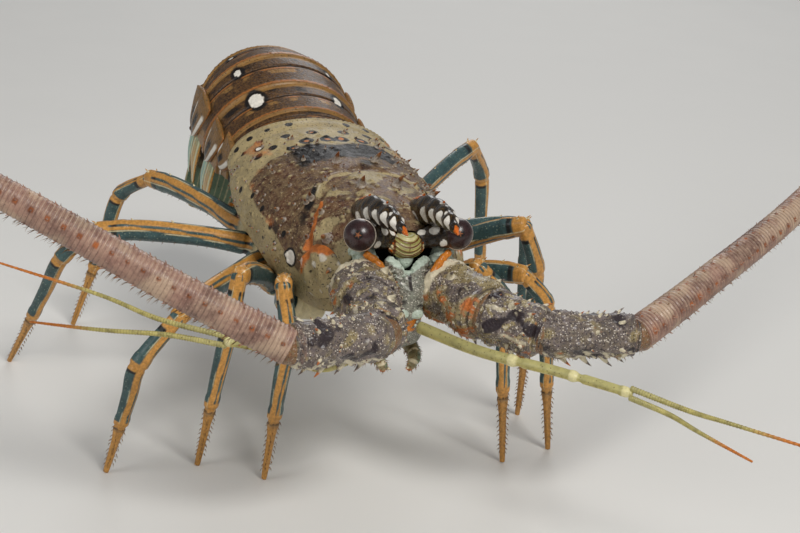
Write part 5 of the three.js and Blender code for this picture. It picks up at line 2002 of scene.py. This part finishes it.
class LobsterSettings(bpy.types.PropertyGroup):
    """The sizes and colours that a user would change."""

    shell: bpy.props.FloatVectorProperty(
        name="Carapace",
        description="Main colour of the carapace",
        default=main_colour("shell"),
        min=0,
        max=1,
        subtype="COLOR",
    )
    tail: bpy.props.FloatVectorProperty(
        name="Abdomen",
        description="Main colour of the abdomen",
        default=main_colour("tail"),
        min=0,
        max=1,
        subtype="COLOR",
    )
    leg: bpy.props.FloatVectorProperty(
        name="Legs",
        description="Colour between the gold stripes of the legs",
        default=main_colour("leg"),
        min=0,
        max=1,
        subtype="COLOR",
    )
    antenna: bpy.props.FloatVectorProperty(
        name="Antennae",
        description="Main colour of the thick antenna segments",
        default=main_colour("antenna"),
        min=0,
        max=1,
        subtype="COLOR",
    )
    floor: bpy.props.FloatVectorProperty(
        name="Floor",
        description="Colour of the plain floor",
        default=(0.78, 0.77, 0.74),
        min=0,
        max=1,
        subtype="COLOR",
    )
    granules: bpy.props.FloatProperty(
        name="Granules",
        description="Height of the shell's granules, as a share of the real one",
        default=1.0,
        min=0,
        max=2,
        subtype="FACTOR",
    )
    bristles: bpy.props.FloatProperty(
        name="Bristles",
        description="Length of the bristles, as a share of the real one",
        default=1.0,
        min=0.2,
        max=2,
        subtype="FACTOR",
    )
    light: bpy.props.FloatProperty(
        name="Light",
        description="Strength of the studio lights",
        default=1.0,
        min=0,
        max=5,
        subtype="FACTOR",
    )


class LOBSTER_OT_materials(bpy.types.Operator):
    """Makes every finish of the model"""

    bl_idname = "lobster.materials"
    bl_label = "Make the finishes"

    def execute(self, context):
        build_materials(context.scene.lobster)
        return {"FINISHED"}


class LOBSTER_OT_carapace(bpy.types.Operator):
    """Builds the carapace with its spines and marks"""

    bl_idname = "lobster.carapace"
    bl_label = "Build the carapace"

    def execute(self, context):
        build_carapace(context.scene.lobster)
        return {"FINISHED"}


class LOBSTER_OT_horns(bpy.types.Operator):
    """Builds the two banded horns over the eyes"""

    bl_idname = "lobster.horns"
    bl_label = "Build the horns"

    def execute(self, context):
        build_horns(context.scene.lobster)
        return {"FINISHED"}


class LOBSTER_OT_eyes(bpy.types.Operator):
    """Builds the eyes and their stalks"""

    bl_idname = "lobster.eyes"
    bl_label = "Build the eyes"

    def execute(self, context):
        build_eyes(context.scene.lobster)
        return {"FINISHED"}


class LOBSTER_OT_plate(bpy.types.Operator):
    """Builds the shield between the antennae"""

    bl_idname = "lobster.plate"
    bl_label = "Build the antennular plate"

    def execute(self, context):
        build_plate(context.scene.lobster)
        return {"FINISHED"}


class LOBSTER_OT_jaws(bpy.types.Operator):
    """Builds the folded third jaw legs"""

    bl_idname = "lobster.jaws"
    bl_label = "Build the jaw legs"

    def execute(self, context):
        build_jaws(context.scene.lobster)
        return {"FINISHED"}


class LOBSTER_OT_sternum(bpy.types.Operator):
    """Builds the plate between the legs"""

    bl_idname = "lobster.sternum"
    bl_label = "Build the sternum"

    def execute(self, context):
        build_sternum(context.scene.lobster)
        return {"FINISHED"}


class LOBSTER_OT_antennae(bpy.types.Operator):
    """Builds the three thick segments of each antenna"""

    bl_idname = "lobster.antennae"
    bl_label = "Build the thick antenna segments"

    def execute(self, context):
        build_antennae(context.scene.lobster)
        return {"FINISHED"}


class LOBSTER_OT_lashes(bpy.types.Operator):
    """Builds the long ringed lashes"""

    bl_idname = "lobster.lashes"
    bl_label = "Build the antenna lashes"

    def execute(self, context):
        build_lashes(context.scene.lobster)
        return {"FINISHED"}


class LOBSTER_OT_antennules(bpy.types.Operator):
    """Builds the antennules and their threads"""

    bl_idname = "lobster.antennules"
    bl_label = "Build the antennules"

    def execute(self, context):
        build_antennules(context.scene.lobster)
        return {"FINISHED"}


class LOBSTER_OT_legs(bpy.types.Operator):
    """Builds the ten walking legs"""

    bl_idname = "lobster.legs"
    bl_label = "Build the legs"

    def execute(self, context):
        build_legs(context.scene.lobster)
        return {"FINISHED"}


class LOBSTER_OT_abdomen(bpy.types.Operator):
    """Builds the six rings of the abdomen"""

    bl_idname = "lobster.abdomen"
    bl_label = "Build the abdomen"

    def execute(self, context):
        build_abdomen(context.scene.lobster)
        return {"FINISHED"}


class LOBSTER_OT_swimmerets(bpy.types.Operator):
    """Builds the leaves below the abdomen"""

    bl_idname = "lobster.swimmerets"
    bl_label = "Build the swimmerets"

    def execute(self, context):
        build_swimmerets(context.scene.lobster)
        return {"FINISHED"}


class LOBSTER_OT_fan(bpy.types.Operator):
    """Builds the five blades of the tail fan"""

    bl_idname = "lobster.fan"
    bl_label = "Build the tail fan"

    def execute(self, context):
        build_fan(context.scene.lobster)
        return {"FINISHED"}


class LOBSTER_OT_bristles(bpy.types.Operator):
    """Builds the fringes of bristles"""

    bl_idname = "lobster.bristles"
    bl_label = "Build the bristles"

    def execute(self, context):
        build_bristles(context.scene.lobster)
        return {"FINISHED"}


class LOBSTER_OT_stage(bpy.types.Operator):
    """Sets the floor, the lights and the camera"""

    bl_idname = "lobster.stage"
    bl_label = "Set the stage"

    def execute(self, context):
        build_stage(context.scene.lobster)
        return {"FINISHED"}


STEPS = (
    LOBSTER_OT_materials,
    LOBSTER_OT_carapace,
    LOBSTER_OT_horns,
    LOBSTER_OT_eyes,
    LOBSTER_OT_plate,
    LOBSTER_OT_jaws,
    LOBSTER_OT_sternum,
    LOBSTER_OT_antennae,
    LOBSTER_OT_lashes,
    LOBSTER_OT_antennules,
    LOBSTER_OT_legs,
    LOBSTER_OT_abdomen,
    LOBSTER_OT_swimmerets,
    LOBSTER_OT_fan,
    LOBSTER_OT_bristles,
    LOBSTER_OT_stage,
)


class LOBSTER_PT_panel(bpy.types.Panel):
    """The settings and the steps, in the 3D view's sidebar"""

    bl_idname = "LOBSTER_PT_panel"
    bl_label = "Spiny lobster"
    bl_space_type = "VIEW_3D"
    bl_region_type = "UI"
    bl_category = "Lobster"

    def draw(self, context):
        for name in LobsterSettings.__annotations__:
            self.layout.prop(context.scene.lobster, name)
        for one in STEPS:
            self.layout.operator(one.bl_idname)


CLASSES = (LobsterSettings, *STEPS, LOBSTER_PT_panel)


def register():
    for one in CLASSES:
        bpy.utils.register_class(one)
    bpy.types.Scene.lobster = bpy.props.PointerProperty(type=LobsterSettings)


def unregister():
    del bpy.types.Scene.lobster
    for one in reversed(CLASSES):
        bpy.utils.unregister_class(one)


def main():
    register()
    for one in STEPS:
        getattr(bpy.ops.lobster, one.bl_idname.split(".")[1])()


if __name__ == "__main__":
    main()
